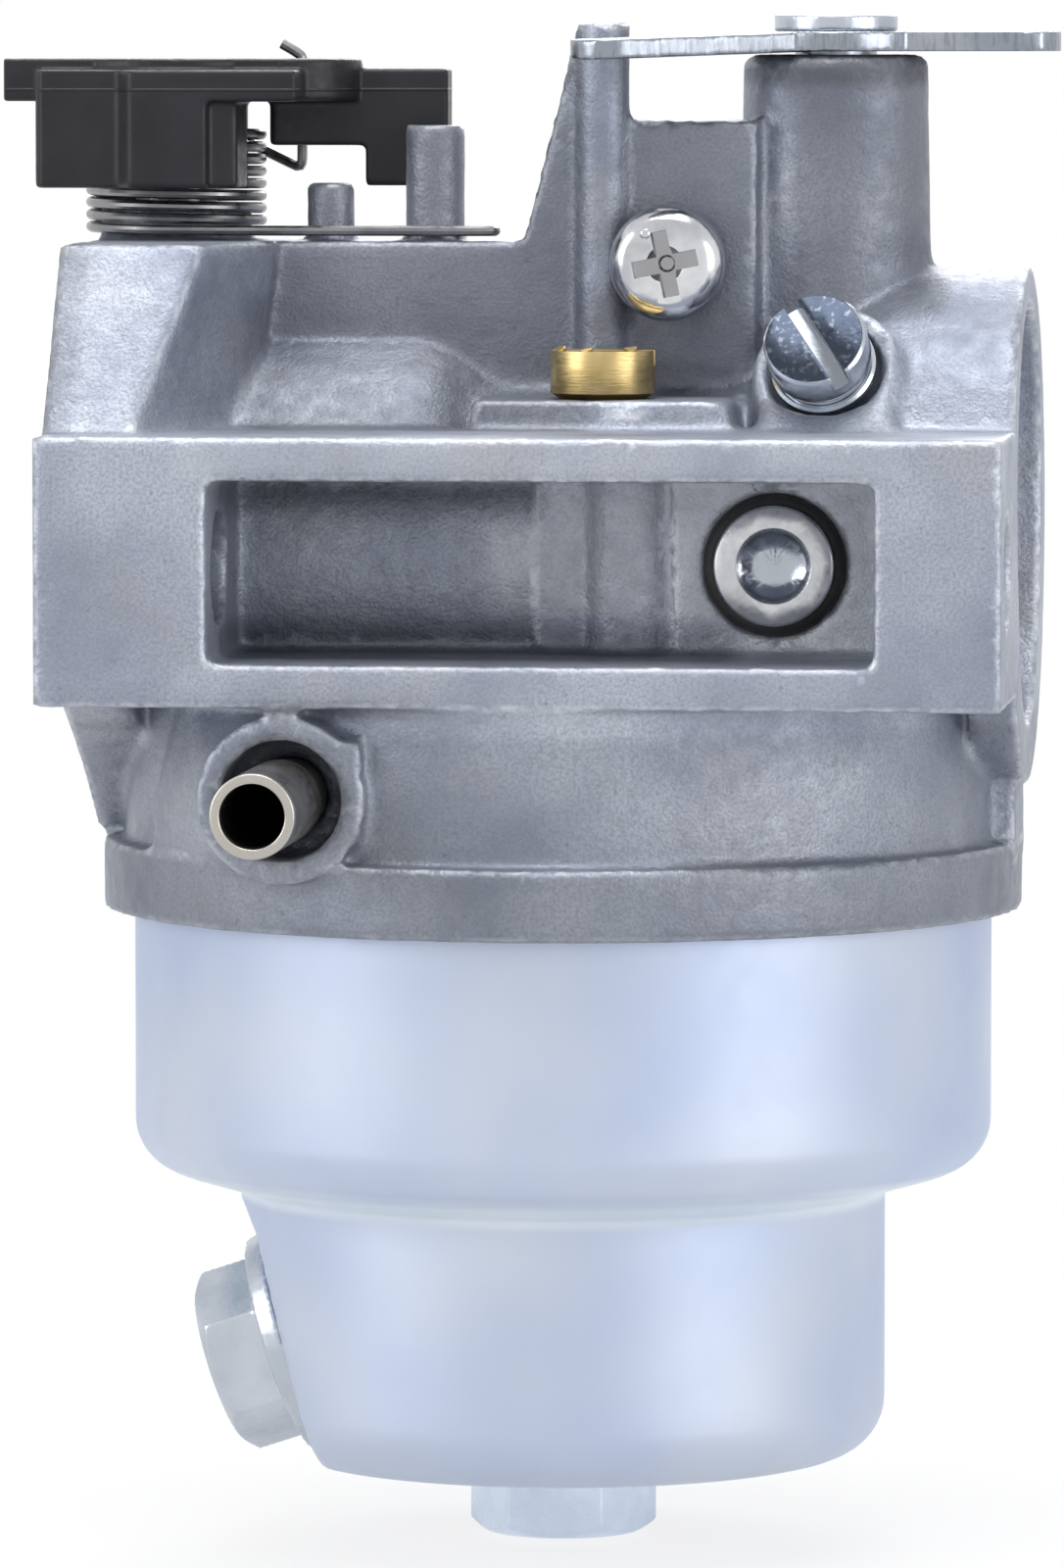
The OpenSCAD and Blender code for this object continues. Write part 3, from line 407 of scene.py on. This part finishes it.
def raised(tree, shader, *heights):
    """Chains bumps, each given as (height output, depth in mm)."""
    last = None
    for height, depth in heights:
        bump = tree.nodes.new("ShaderNodeBump")
        bump.inputs["Strength"].default_value = 1.0
        bump.inputs["Distance"].default_value = depth / 1000
        wire(tree, height, bump.inputs["Height"])
        if last:
            wire(tree, last, bump.inputs["Normal"])
        last = bump.outputs["Normal"]
    wire(tree, last, shader.inputs["Normal"])


def stored(tree, name):
    """A number stored on the mesh's points."""
    node = tree.nodes.new("ShaderNodeAttribute")
    node.attribute_name = name
    return node.outputs["Fac"]


die_cast, tree, out = material_tree("die_cast_alloy")
shader = principled(tree, out, (0.33, 0.36, 0.43), 0.55, 0.45)
patches = grain(tree, 0.10, 4)
warmth = grain(tree, 0.16, 3)
fine = grain(tree, 5.0, 3)
pits = grain(tree, 2.2, 2)
skin = grain(tree, 1.0, 4)
base = tinted(tree, patches, (0.32, (0.225, 0.25, 0.32)), (0.50, (0.325, 0.355, 0.43)),
              (0.68, (0.43, 0.46, 0.53)))
base = mixed(tree, between(tree, warmth, 0.52, 0.75, 0, 0.45), base, (0.36, 0.35, 0.36))
base = mixed(tree, between(tree, fine, 0.40, 0.62, 0, 0.46), base, (0.20, 0.215, 0.25))
base = mixed(tree, between(tree, pits, 0.66, 0.74, 0, 0.35), base, (0.13, 0.13, 0.14))
# Corners are paler: partly wear, partly a painted highlight along the edges. They are also a
# little glossier there.
edge = between(tree, stored(tree, "corner"), 0.30, 0.85, 0.0, 1.0)
edge_wear_and_highlight = maths(tree, "MULTIPLY", edge, between(tree, skin, 0.38, 0.62, 0.10, 0.85))
base = mixed(tree, edge_wear_and_highlight, base, (0.66, 0.68, 0.72))
# Painted shade darkens the colour where the stored share is under 1, and painted light makes it
# paler where it is over 1.
base = mixed(tree, between(tree, stored(tree, "painted_light_and_shade"), 1.0, 0.5, 0.0, 0.85), base,
             (0.075, 0.078, 0.09))
wire(tree, mixed(tree, between(tree, stored(tree, "painted_light_and_shade"), 1.0, 1.5, 0.0, 0.85), base,
                 (0.90, 0.91, 0.93)), shader.inputs["Base Color"])
dull = between(tree, skin, 0.3, 0.7, 0.40, 0.58)
wire(tree, maths(tree, "SUBTRACT", dull, maths(tree, "MULTIPLY", edge_wear_and_highlight, 0.15)),
     shader.inputs["Roughness"])
raised(tree, shader, (skin, 0.09), (fine, 0.045))

casting.data.materials.append(die_cast)
casting.data.shade_smooth()
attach(casting, "body")
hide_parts("main_body")

# ---- Float bowl ----
# Deep-drawn steel cup in two diameters with a blue zinc plating. Its floor is pressed up under
# the bowl bolt, and one side is pressed flat where the drain bolt goes through.


def piece(mesh, name, body, material, *stands_for, smooth=0.6):
    """Puts a finished bmesh on show: shaded, painted, riding on its body, and replacing nodes."""
    data = bpy.data.meshes.new(name)
    mesh.to_mesh(data)
    mesh.free()
    made = bpy.data.objects.new(name, data)
    scene.collection.objects.link(made)
    data.materials.append(material)
    data.shade_smooth()
    data.set_sharp_from_angle(angle=smooth)
    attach(made, body)
    if stands_for:
        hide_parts(*stands_for)
    return made


def bend(centre, radius, start, end, steps):
    """Points of an arc in a profile, in mm and degrees."""
    turn = [math.radians(start + (end - start) * i / steps) for i in range(steps + 1)]
    return [(centre[0] + radius * math.cos(a), centre[1] + radius * math.sin(a)) for a in turn]


def turned(profile, steps, closed=False):
    """Spins a profile of (radius, height) in mm round the Z axis into a bmesh."""
    mesh = bmesh.new()
    verts = [mesh.verts.new((r / 1000, 0, z / 1000)) for r, z in profile]
    edges = [mesh.edges.new(pair) for pair in zip(verts, verts[1:])]
    if closed:
        edges.append(mesh.edges.new((verts[-1], verts[0])))
    bmesh.ops.spin(mesh, geom=verts + edges, cent=(0, 0, 0), axis=(0, 0, 1),
                   angle=2 * math.pi, steps=steps, use_merge=True)
    bmesh.ops.remove_doubles(mesh, verts=mesh.verts, dist=1e-7)
    bmesh.ops.recalc_face_normals(mesh, faces=mesh.faces)
    return mesh


bowl_r = (bowl_high.x - bowl_low.x) * 500
rim_z = bowl_high.z * 1000
floor_z = bowl_low.z * 1000
neck_r, shoulder_z, throat_z = 19.8, -37.9, -38.75
throat, shoulder, slope = 0.9, 3.3, 17.0
foot = 3.6
wall_steps = 9
wall = [(3.2, floor_z + 0.9), (7.0, floor_z + 0.9)]
wall += bend((7.2, floor_z + 0.6), 0.3, 90, 40, 2) + bend((8.1, floor_z + 0.3), 0.3, 220, 270, 2)
wall += [(11.0, floor_z), (14.0, floor_z)]
wall += bend((neck_r - foot, floor_z + foot), foot, -90, 0, 10)
neck_h = throat_z - throat - floor_z - foot
wall += [(neck_r, floor_z + foot + i * neck_h / wall_steps) for i in range(1, wall_steps)]
wall += bend((neck_r + throat, throat_z - throat), throat, 180, 90 + slope, 8)
wall += bend((bowl_r - shoulder, shoulder_z + shoulder), shoulder, slope - 90, 0, 14)
cup_h = rim_z - shoulder_z - shoulder
wall += [(bowl_r, shoulder_z + shoulder + i * cup_h / wall_steps)
         for i in range(1, wall_steps + 1)]
cup = turned(wall, 144)
lean = math.radians(18.4)
flat_out = Vector((-math.cos(lean), 0, -math.sin(lean)))
flat_up = Vector((-math.sin(lean), 0, math.cos(lean)))
drain_z, step_z, pressed_in = -48.6, -39.0, 0.8
drain_x = -neck_r + pressed_in + (step_z - drain_z) * math.tan(lean)
drain_seat = Vector((drain_x, 0, drain_z)) / 1000
flat_top, flat_fade, crease = 0.0094, 0.0022, 0.0004
for vertex in cup.verts:
    offset = vertex.co - drain_seat
    past, up = offset.dot(flat_out), offset.dot(flat_up)
    past = (past + math.sqrt(past * past + crease * crease)) / 2
    ease = min(1.0, max(0.0, (flat_top - up) / flat_fade))
    vertex.co -= flat_out * past * ease * ease * (3 - 2 * ease)
bmesh.ops.translate(cup, verts=cup.verts, vec=(bowl_x, 0, 0))


def place_along(tree, axis):
    """A point's place along the object's X, Y or Z."""
    spot = tree.nodes.new("ShaderNodeTexCoord")
    split = tree.nodes.new("ShaderNodeSeparateXYZ")
    wire(tree, spot.outputs["Object"], split.inputs["Vector"])
    return split.outputs[axis]


blue_zinc, tree, out = material_tree("blue_zinc_plate")
shader = principled(tree, out, (0.48, 0.54, 0.66), 0.62, 0.46)
cloud = grain(tree, 0.05, 2)
skin = grain(tree, 0.6, 3)
fine = grain(tree, 5.0, 2)
base = tinted(tree, cloud, (0.35, (0.44, 0.51, 0.67)), (0.65, (0.55, 0.60, 0.69)))
# A thin bright line along the step between the two diameters is a painted highlight.
throat_line = (throat_z + 0.35) / 1000
off_step = maths(tree, "ABSOLUTE",
                 maths(tree, "SUBTRACT", place_along(tree, "Z"), throat_line), 0.0)
step_highlight = between(tree, off_step, 0.0003, 0.0013, 0.75, 0.0)
wire(tree, mixed(tree, step_highlight, base, (0.84, 0.90, 0.90)), shader.inputs["Base Color"])
wire(tree, between(tree, skin, 0.3, 0.7, 0.43, 0.50), shader.inputs["Roughness"])
raised(tree, shader, (skin, 0.0012), (fine, 0.0008))
float_bowl = piece(cup, "pressed_bowl", "body", blue_zinc, "float_bowl", smooth=1.2)
settled(float_bowl, ("SOLIDIFY", {"thickness": 0.0009, "offset": -1}))

# ---- Bowl bolt and its copper washer ----
# Zinc-plated hex bolt that holds the bowl up against the casting. The soft copper washer under
# its head seals it.


def rounded(node, radius, segments=2, angle=0.45):
    """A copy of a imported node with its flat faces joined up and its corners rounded."""
    mesh = copy_of(node)
    bmesh.ops.dissolve_limit(mesh, angle_limit=0.01, verts=mesh.verts, edges=mesh.edges,
                             use_dissolve_boundaries=False)
    sharp = [e for e in mesh.edges
             if len(e.link_faces) == 2 and abs(e.calc_face_angle_signed(0)) > angle]
    bmesh.ops.bevel(mesh, geom=sharp, offset=radius / 1000, offset_type="OFFSET",
                    segments=segments, profile=0.5, affect="EDGES", clamp_overlap=True,
                    material=-1)
    return mesh


def worn_copy(node, name, body, material, grid, passes, share=0.35):
    """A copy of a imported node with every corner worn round, on show in the node's place."""
    mesh = copy_of(node)
    data = bpy.data.meshes.new(name)
    mesh.to_mesh(data)
    mesh.free()
    made = bpy.data.objects.new(name, data)
    scene.collection.objects.link(made)
    settled(made, ("REMESH", {"mode": "VOXEL", "voxel_size": grid / 1000}),
            ("SMOOTH", {"factor": 0.5, "iterations": passes}),
            ("DECIMATE", {"ratio": share}))
    made.data.materials.clear()
    made.data.materials.append(material)
    made.data.shade_smooth()
    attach(made, body)
    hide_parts(node)
    return made


def coated(name, dark, light, metallic, roughness, per_mm=1.5, depth=0.006, spread=0.08):
    """A finish: two close shades in clouds, uneven gloss and a fine skin."""
    made, tree, out = material_tree(name)
    shader = principled(tree, out, light, metallic, roughness)
    cloud = grain(tree, per_mm * 0.15, 4)
    skin = grain(tree, per_mm, 4)
    fine = grain(tree, per_mm * 4, 2)
    wire(tree, tinted(tree, cloud, (0.3, dark), (0.7, light)), shader.inputs["Base Color"])
    wire(tree, between(tree, skin, 0.3, 0.7, max(0.03, roughness - spread),
                       roughness + spread), shader.inputs["Roughness"])
    raised(tree, shader, (skin, depth), (fine, depth / 3))
    return made


def painted(node, finish):
    """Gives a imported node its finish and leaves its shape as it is."""
    for slot in frame["nodes"][node].material_slots:
        slot.material = finish


zinc = coated("zinc_plate", (0.40, 0.44, 0.50), (0.56, 0.60, 0.66), 1.0, 0.26, 1.2, 0.002)
copper = coated("soft_copper", (0.40, 0.18, 0.09), (0.60, 0.32, 0.18), 1.0, 0.45)
pale_zinc = coated("pale_zinc_plate", (0.52, 0.60, 0.73), (0.68, 0.77, 0.90), 1.0, 0.26, 1.2,
                   0.002)
worn_copy("bowl_bolt", "bowl_bolt_piece", "body", pale_zinc, 0.15, 5)
piece(rounded("bowl_bolt_washer", 0.12), "bowl_bolt_washer_piece", "body", copper,
      "bowl_bolt_washer")

# ---- Bowl gasket ----
# Square-cut ring of black nitrile rubber. It lies in the casting's groove, and the bowl's rim
# presses on it.
black_rubber = coated("black_rubber", (0.012, 0.012, 0.013), (0.03, 0.03, 0.03), 0.0, 0.6)
painted("bowl_gasket", black_rubber)

# ---- Drain bolt, washer and bush ----
# Flanged hex bolt through the bowl's pressed flat, with a flat washer under it. Its thread runs
# in a brass bush brazed to the inside of the cup.
brass = coated("cut_brass", (0.50, 0.33, 0.10), (0.68, 0.49, 0.20), 1.0, 0.28)
worn_copy("drain_bolt", "drain_bolt_piece", "body", zinc, 0.15, 5)
piece(rounded("drain_washer", 0.1), "drain_washer_piece", "body", zinc, "drain_washer")
painted("drain_bush", brass)

# ---- Fuel inlet pipe ----
# Short nickel-plated brass pipe pressed into the boss. Its cut end is bright, and the rest has
# gone dull and brown.
pipe_tip_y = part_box("fuel_inlet_pipe")[0].y
nickel, tree, out = material_tree("dull_nickel")
shader = principled(tree, out, (0.40, 0.38, 0.34), 1.0, 0.34)
skin = grain(tree, 1.6, 4)
cloud = grain(tree, 0.5, 3)
dulled = tinted(tree, cloud, (0.3, (0.13, 0.12, 0.10)), (0.7, (0.27, 0.255, 0.235)))
bright = between(tree, place_along(tree, "Y"), pipe_tip_y + 0.0006, pipe_tip_y + 0.0008,
                 1.0, 0.0)
wire(tree, mixed(tree, bright, dulled, (0.47, 0.45, 0.41)), shader.inputs["Base Color"])
wire(tree, between(tree, skin, 0.3, 0.7, 0.26, 0.42), shader.inputs["Roughness"])
raised(tree, shader, (skin, 0.012))
piece(rounded("fuel_inlet_pipe", 0.18, 3), "fuel_pipe_piece", "body", nickel, "fuel_inlet_pipe")

# ---- Float and its pin ----
# Hollow black plastic float with its arms moulded on. It swings on a plain steel pin held
# under the chamber's roof.
pin_steel = coated("ground_steel", (0.34, 0.34, 0.33), (0.46, 0.45, 0.43), 1.0, 0.30)
float_plastic = coated("float_plastic", (0.014, 0.014, 0.015), (0.03, 0.03, 0.032), 0.0, 0.42)
painted("float", float_plastic)
painted("float_pin", pin_steel)

# ---- Float needle and its seat ----
# Brass needle with a rubber tip, hung from the float's tab by a wire clip. Its seat is bored in
# a brass bush above it.
wire_steel = coated("spring_wire", (0.17, 0.17, 0.18), (0.30, 0.30, 0.31), 1.0, 0.32)
painted("needle_seat", brass)
painted("float_needle", brass)
painted("needle_tip", black_rubber)
painted("needle_clip", wire_steel)

# ---- Main nozzle and main jet ----
# Drilled brass tube that stands up into the venturi. The brass main jet is screwed in under it,
# down in the fuel.
painted("main_nozzle", brass)
painted("main_jet", brass)

# ---- Pilot jet and its O-ring ----
# Turned brass jet pushed down its column from above, slotted across its head. The slot's ends
# are left with burrs.
golden, tree, out = material_tree("pilot_jet_brass")
shader = principled(tree, out, (0.62, 0.44, 0.17), 1.0, 0.26)
cloud = grain(tree, 0.5, 4)
scratch = grain(tree, 1.0, 3, (1, 1, 8))
wire(tree, tinted(tree, cloud, (0.3, (0.40, 0.29, 0.12)), (0.7, (0.57, 0.44, 0.21))),
     shader.inputs["Base Color"])
wire(tree, between(tree, scratch, 0.3, 0.7, 0.28, 0.44), shader.inputs["Roughness"])
raised(tree, shader, (scratch, 0.02))
piece(rounded("pilot_jet", 0.14, 2), "pilot_jet_piece", "body", golden, "pilot_jet")
painted("pilot_jet_oring", black_rubber)
jet_x, jet_y = 0.0322, -0.0114
jet_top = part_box("pilot_jet")[1].z
for x, y, turn, size in ((-0.0023, -0.0016, 0.5, 1.0), (-0.0006, -0.0027, 1.2, 0.7),
                         (0.0019, -0.0019, 2.3, 0.9)):
    curl = bmesh.new()
    bmesh.ops.create_cone(curl, cap_ends=True, segments=7, radius1=0.00040 * size,
                          radius2=0.00010, depth=0.0009 * size)
    bmesh.ops.rotate(curl, verts=curl.verts, cent=(0, 0, 0),
                     matrix=Matrix.Rotation(turn, 3, "Z") @ Matrix.Rotation(1.15, 3, "X"))
    bmesh.ops.translate(curl, verts=curl.verts, vec=(jet_x + x, jet_y + y, jet_top + 0.00005))
    piece(curl, "jet_burr", "body", golden)

# ---- Retaining screw ----
# Chromed pan-head screw with a cross recess, driven in beside the pilot jet's column. It keeps
# the jet from rising.
chrome, tree, out = material_tree("bright_chrome")
shader = principled(tree, out, (0.60, 0.61, 0.63), 1.0, 0.16)
skin = grain(tree, 1.2, 3)
cloud = grain(tree, 0.35, 3)
lit = tinted(tree, cloud, (0.35, (0.46, 0.47, 0.50)), (0.65, (0.72, 0.73, 0.75)))
# The cross recess is painted darker as painted shade.
wire(tree, mixed(tree, stored(tree, "recess"), lit, (0.34, 0.34, 0.355)),
     shader.inputs["Base Color"])
wire(tree, between(tree, skin, 0.3, 0.7, 0.10, 0.24), shader.inputs["Roughness"])
raised(tree, shader, (skin, 0.02))
screw_x, screw_z = 0.0358, 0.01785
face_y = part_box("jet_retaining_screw")[0].y
dome_curve, recess_r = 55, 0.0022
pan = rounded("jet_retaining_screw", 0.16, 3, 0.7)
retaining_screw = piece(pan, "retaining_screw", "body", chrome, "jet_retaining_screw")


def recessed(obj, depth_of, least, most):
    """Stores how far into a recess each point of a mesh lies, from 0 at least to 1 at most, as
    the mask for painted shade.
    """
    layer = obj.data.attributes.new("recess", "FLOAT", "POINT")
    for vertex in obj.data.vertices:
        share = (depth_of(vertex.co) - least) / (most - least)
        layer.data[vertex.index].value = min(1.0, max(0.0, share))


def pan_depth(point):
    """How far under the head's dome a point of the cross lies."""
    reach = math.hypot(point.x - screw_x, point.z - screw_z)
    dome = face_y + reach * reach * dome_curve
    return (point.y - dome) if reach < recess_r else 0.0


recessed(retaining_screw, pan_depth, 0.0004, 0.0013)
pip = bmesh.new()
bmesh.ops.create_uvsphere(pip, u_segments=20, v_segments=12, radius=0.00034)
bmesh.ops.scale(pip, verts=pip.verts, vec=(1, 0.5, 1))
bmesh.ops.translate(pip, verts=pip.verts,
                    vec=(screw_x - 0.00118, face_y + 0.00010, screw_z + 0.00180))
piece(pip, "screw_pip", "body", chrome)

# ---- Air jets ----
# Two turned brass bushes with fine bores, pressed into the air flange beside the duct. They
# meter the air of the idle side and of the main side.
painted("air_jets", brass)

# ---- Side plug and its O-ring ----
# Turned aluminium plug with a dished middle, pressed into the pad on the side. An O-ring round
# it closes the bore.
plug_metal, tree, out = material_tree("turned_aluminium")
shader = principled(tree, out, (0.62, 0.63, 0.65), 1.0, 0.30)
plug_x = sum(corner.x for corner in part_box("side_plug")) / 2
from_axis = tree.nodes.new("ShaderNodeVectorMath")
from_axis.operation = "DISTANCE"
spot = tree.nodes.new("ShaderNodeTexCoord")
flat = tree.nodes.new("ShaderNodeVectorMath")
flat.operation = "MULTIPLY"
flat.inputs[1].default_value = (1, 0, 1)
wire(tree, spot.outputs["Object"], flat.inputs[0])
wire(tree, flat.outputs["Vector"], from_axis.inputs[0])
from_axis.inputs[1].default_value = (plug_x, 0, 0)
radius = from_axis.outputs["Value"]
skin = grain(tree, 3.0, 3)
cloud = grain(tree, 0.5, 3)
ring = tinted(tree, cloud, (0.3, (0.50, 0.51, 0.53)), (0.7, (0.66, 0.67, 0.69)))
dish = between(tree, radius, 0.0020, 0.0023, 1.0, 0.0)
wire(tree, mixed(tree, dish, ring, (0.42, 0.45, 0.50)), shader.inputs["Base Color"])
rough_ring = between(tree, skin, 0.3, 0.7, 0.26, 0.44)
wire(tree, maths(tree, "SUBTRACT", rough_ring, maths(tree, "MULTIPLY", dish, 0.18)),
     shader.inputs["Roughness"])
raised(tree, shader, (skin, 0.012))
piece(rounded("side_plug", 0.08, 2, 0.6), "side_plug_piece", "body", plug_metal, "side_plug")
painted("side_plug_oring", black_rubber)

# ---- Idle mixture screw and its O-ring ----
# Slotted head on a neck with a collar, turned from steel and plated with bright zinc. The
# rubber ring in its bore keeps it from turning by itself.
bright_zinc, tree, out = material_tree("bright_zinc")
mixture_joint = next(j for j in frame["joints"] if j["name"] == "mixture_screw_turn")
mix_axis = Vector(mixture_joint["axis"])
mixture_head = rounded("mixture_screw", 0.12, 2, 0.6)
mix_top = max(v.co.dot(mix_axis) for v in mixture_head.verts)
shader = principled(tree, out, (0.50, 0.54, 0.60), 1.0, 0.18)
spot = tree.nodes.new("ShaderNodeTexCoord")
along = tree.nodes.new("ShaderNodeVectorMath")
along.operation = "DOT_PRODUCT"
along.inputs[1].default_value = mix_axis
wire(tree, spot.outputs["Object"], along.inputs[0])
skin = grain(tree, 1.4, 3)
cloud = grain(tree, 0.30, 3)
speck = grain(tree, 2.6, 2)
lit = tinted(tree, cloud, (0.38, (0.46, 0.49, 0.54)), (0.58, (0.62, 0.66, 0.71)))
# The head's flat face is painted dark as a painted reflection, with paler specks; below it the
# chamfered rim keeps the light colour as a painted highlight.
crown_dark_reflection = mixed(tree, between(tree, speck, 0.56, 0.72, 0.0, 0.5), (0.045, 0.055, 0.078),
              (0.22, 0.25, 0.29))
face = between(tree, along.outputs["Value"], mix_top - 0.00004, mix_top - 0.00001, 0.0, 1.0)
shade = mixed(tree, face, lit, crown_dark_reflection)
# The slot's floor is painted darker as painted shade.
wire(tree, mixed(tree, stored(tree, "recess"), shade, (0.24, 0.26, 0.29)),
     shader.inputs["Base Color"])
wire(tree, between(tree, skin, 0.3, 0.7, 0.12, 0.28), shader.inputs["Roughness"])
raised(tree, shader, (skin, 0.015))
mixture_piece = piece(mixture_head, "mixture_screw_piece", "mixture_screw", bright_zinc,
                      "mixture_screw")
slot_foot = 0.0016


def slot_depth(point):
    """How far under the head's face a point of the slot lies."""
    depth = mix_top - point.dot(mix_axis)
    return depth if depth < slot_foot else 0.0


recessed(mixture_piece, slot_depth, 0.0009, 0.0012)
collar = turned([(2.35, 0.35), (3.0, 0.35), (3.18, 0.5), (3.18, 1.05), (3.0, 1.2), (2.35, 1.2)],
                64, closed=True)
bmesh.ops.rotate(collar, verts=collar.verts, cent=(0, 0, 0),
                 matrix=Vector((0, 0, 1)).rotation_difference(mix_axis).to_matrix())
bmesh.ops.translate(collar, verts=collar.verts, vec=Vector(mixture_joint["pos_m"]))
piece(collar, "mixture_screw_collar", "mixture_screw", bright_zinc)
painted("mixture_screw_oring", black_rubber)

# ---- Throttle shaft, plate and screws ----
# Plain steel shaft in the casting's own bores, with a brass plate in its flat held by two
# screws, and a rubber seal under the lever.
painted("throttle_shaft", pin_steel)
painted("throttle_plate", brass)
painted("throttle_plate_screws", zinc)
painted("throttle_shaft_seal", black_rubber)

# ---- Throttle lever ----
# Black glass-filled nylon lever moulded on the shaft, with a deep skirt round the spring and an
# arm at the back. A faint mould line runs round it.
lever_plastic, tree, out = material_tree("lever_nylon")
shader = principled(tree, out, (0.013, 0.013, 0.016), 0.0, 0.38)
shader.inputs["Specular IOR Level"].default_value = 0.30
skin = grain(tree, 2.0, 4)
cloud = grain(tree, 0.3, 3)
wire(tree, tinted(tree, cloud, (0.3, (0.013, 0.013, 0.016)), (0.7, (0.022, 0.022, 0.027))),
     shader.inputs["Base Color"])
wire(tree, between(tree, skin, 0.3, 0.7, 0.30, 0.46), shader.inputs["Roughness"])
seam_z = 0.02825
off_seam = maths(tree, "ABSOLUTE",
                 maths(tree, "SUBTRACT", place_along(tree, "Z"), seam_z), 0.0)
seam = between(tree, off_seam, 0.00004, 0.00010, 1.0, 0.0)
raised(tree, shader, (skin, 0.010), (seam, 0.05))
moulded = worn_copy("throttle_lever", "throttle_lever_piece", "throttle", lever_plastic, 0.16, 8)
# The arm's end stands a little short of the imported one, beyond the link hole.
past_hole = -0.00435
for vertex in moulded.data.vertices:
    vertex.co.x += max(0.0, past_hole - vertex.co.x) * 0.55

# ---- Throttle return spring ----
# Torsion spring of steel wire round the shaft's collar. The lower end is a long loop lying on
# the deck. The upper end is hooked up through a hole in the lever and goes round with it.
wire_r, coil_r, coils, per_turn, pitch = 0.32, 5.28, 8, 24, 0.75
axis_x = sum(corner.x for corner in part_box("throttle_shaft")) * 500
first_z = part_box("throttle_spring")[0].z * 1000 + wire_r
hook_x, hook_y, under_lever = 7.5, 2.2, 27.55
lower_leg = [(axis_x + x, y, first_z) for x, y in (
    (14.0, -4.35), (19.6, -4.35), (20.15, -4.15), (20.25, -4.75), (19.7, -5.1), (17.0, -5.45),
    (6.0, -coil_r))]
past_full, taken_over = 14, 6
coil = [(axis_x + coil_r * math.cos(-math.pi / 2 - 2 * math.pi * i / per_turn),
         coil_r * math.sin(-math.pi / 2 - 2 * math.pi * i / per_turn),
         first_z + pitch * i / per_turn) for i in range(coils * per_turn + past_full)]
hook = [(axis_x + hook_x + x, hook_y + y, under_lever + z) for x, y, z in (
    (-0.8, 0.3, -3.8), (-0.15, 0.1, -4.1), (0, 0, -3.7), (0, 0, -3.0), (0, 0, 0), (0, 0, 2.4),
    (0, 0, 2.7), (-0.35, 0, 3.0), (-1.25, 0, 3.5))]
for name, body, path, stands_for in (
        ("throttle_spring_coil", "body", lower_leg + coil[:-taken_over], ["throttle_spring"]),
        ("throttle_spring_hook", "throttle", coil[-taken_over - 1:] + hook, [])):
    curve = bpy.data.curves.new(name, "CURVE")
    curve.dimensions = "3D"
    curve.bevel_depth = wire_r / 1000
    curve.bevel_resolution = 3
    curve.use_fill_caps = True
    curve.resolution_u = 2
    strand = curve.splines.new("NURBS")
    strand.points.add(len(path) - 1)
    for point, (x, y, z) in zip(strand.points, path):
        point.co = (x / 1000, y / 1000, z / 1000, 1)
    strand.order_u = 3
    strand.use_endpoint_u = True
    wound = bpy.data.objects.new(name, curve)
    scene.collection.objects.link(wound)
    strand_mesh = bmesh.new()
    strand_mesh.from_mesh(bpy.data.meshes.new_from_object(
        wound.evaluated_get(bpy.context.evaluated_depsgraph_get())))
    bmesh.ops.remove_doubles(strand_mesh, verts=strand_mesh.verts, dist=1e-7)
    bmesh.ops.recalc_face_normals(strand_mesh, faces=strand_mesh.faces)
    bpy.data.objects.remove(wound)
    piece(strand_mesh, name, body, wire_steel, *stands_for)

# ---- Choke shaft, plate and screws ----
# Zinc-plated shaft with its end riveted over the lever, a brass plate held by two screws, and
# a rubber seal under the lever.
worn_copy("choke_shaft", "choke_shaft_piece", "choke", zinc, 0.13, 5)
painted("choke_plate", brass)
painted("choke_plate_screws", zinc)
painted("choke_shaft_seal", black_rubber)

# ---- Choke lever ----
# Stamped steel lever with bright zinc, riveted on its shaft. Its inner arm dips to meet the
# stop rib.
lever_zinc, tree, out = material_tree("stamped_zinc")
shader = principled(tree, out, (0.30, 0.33, 0.37), 1.0, 0.26)
skin = grain(tree, 1.2, 4)
cloud = grain(tree, 0.22, 4)
sheared = grain(tree, 1.4, 3, (3, 3, 0.5))
lit = tinted(tree, cloud, (0.30, (0.24, 0.265, 0.31)), (0.70, (0.38, 0.405, 0.45)))
wire(tree, mixed(tree, between(tree, sheared, 0.50, 0.62, 0, 0.4), lit, (0.14, 0.155, 0.185)),
     shader.inputs["Base Color"])
wire(tree, between(tree, skin, 0.3, 0.7, 0.20, 0.36), shader.inputs["Roughness"])
raised(tree, shader, (skin, 0.004), (sheared, 0.002))
stamped = worn_copy("choke_lever", "choke_lever_piece", "choke", lever_zinc, 0.12, 6)
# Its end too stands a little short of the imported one, beyond the link hole.
past_hole = 0.0580
for vertex in stamped.data.vertices:
    vertex.co.x -= max(0.0, vertex.co.x - past_hole) * 0.44
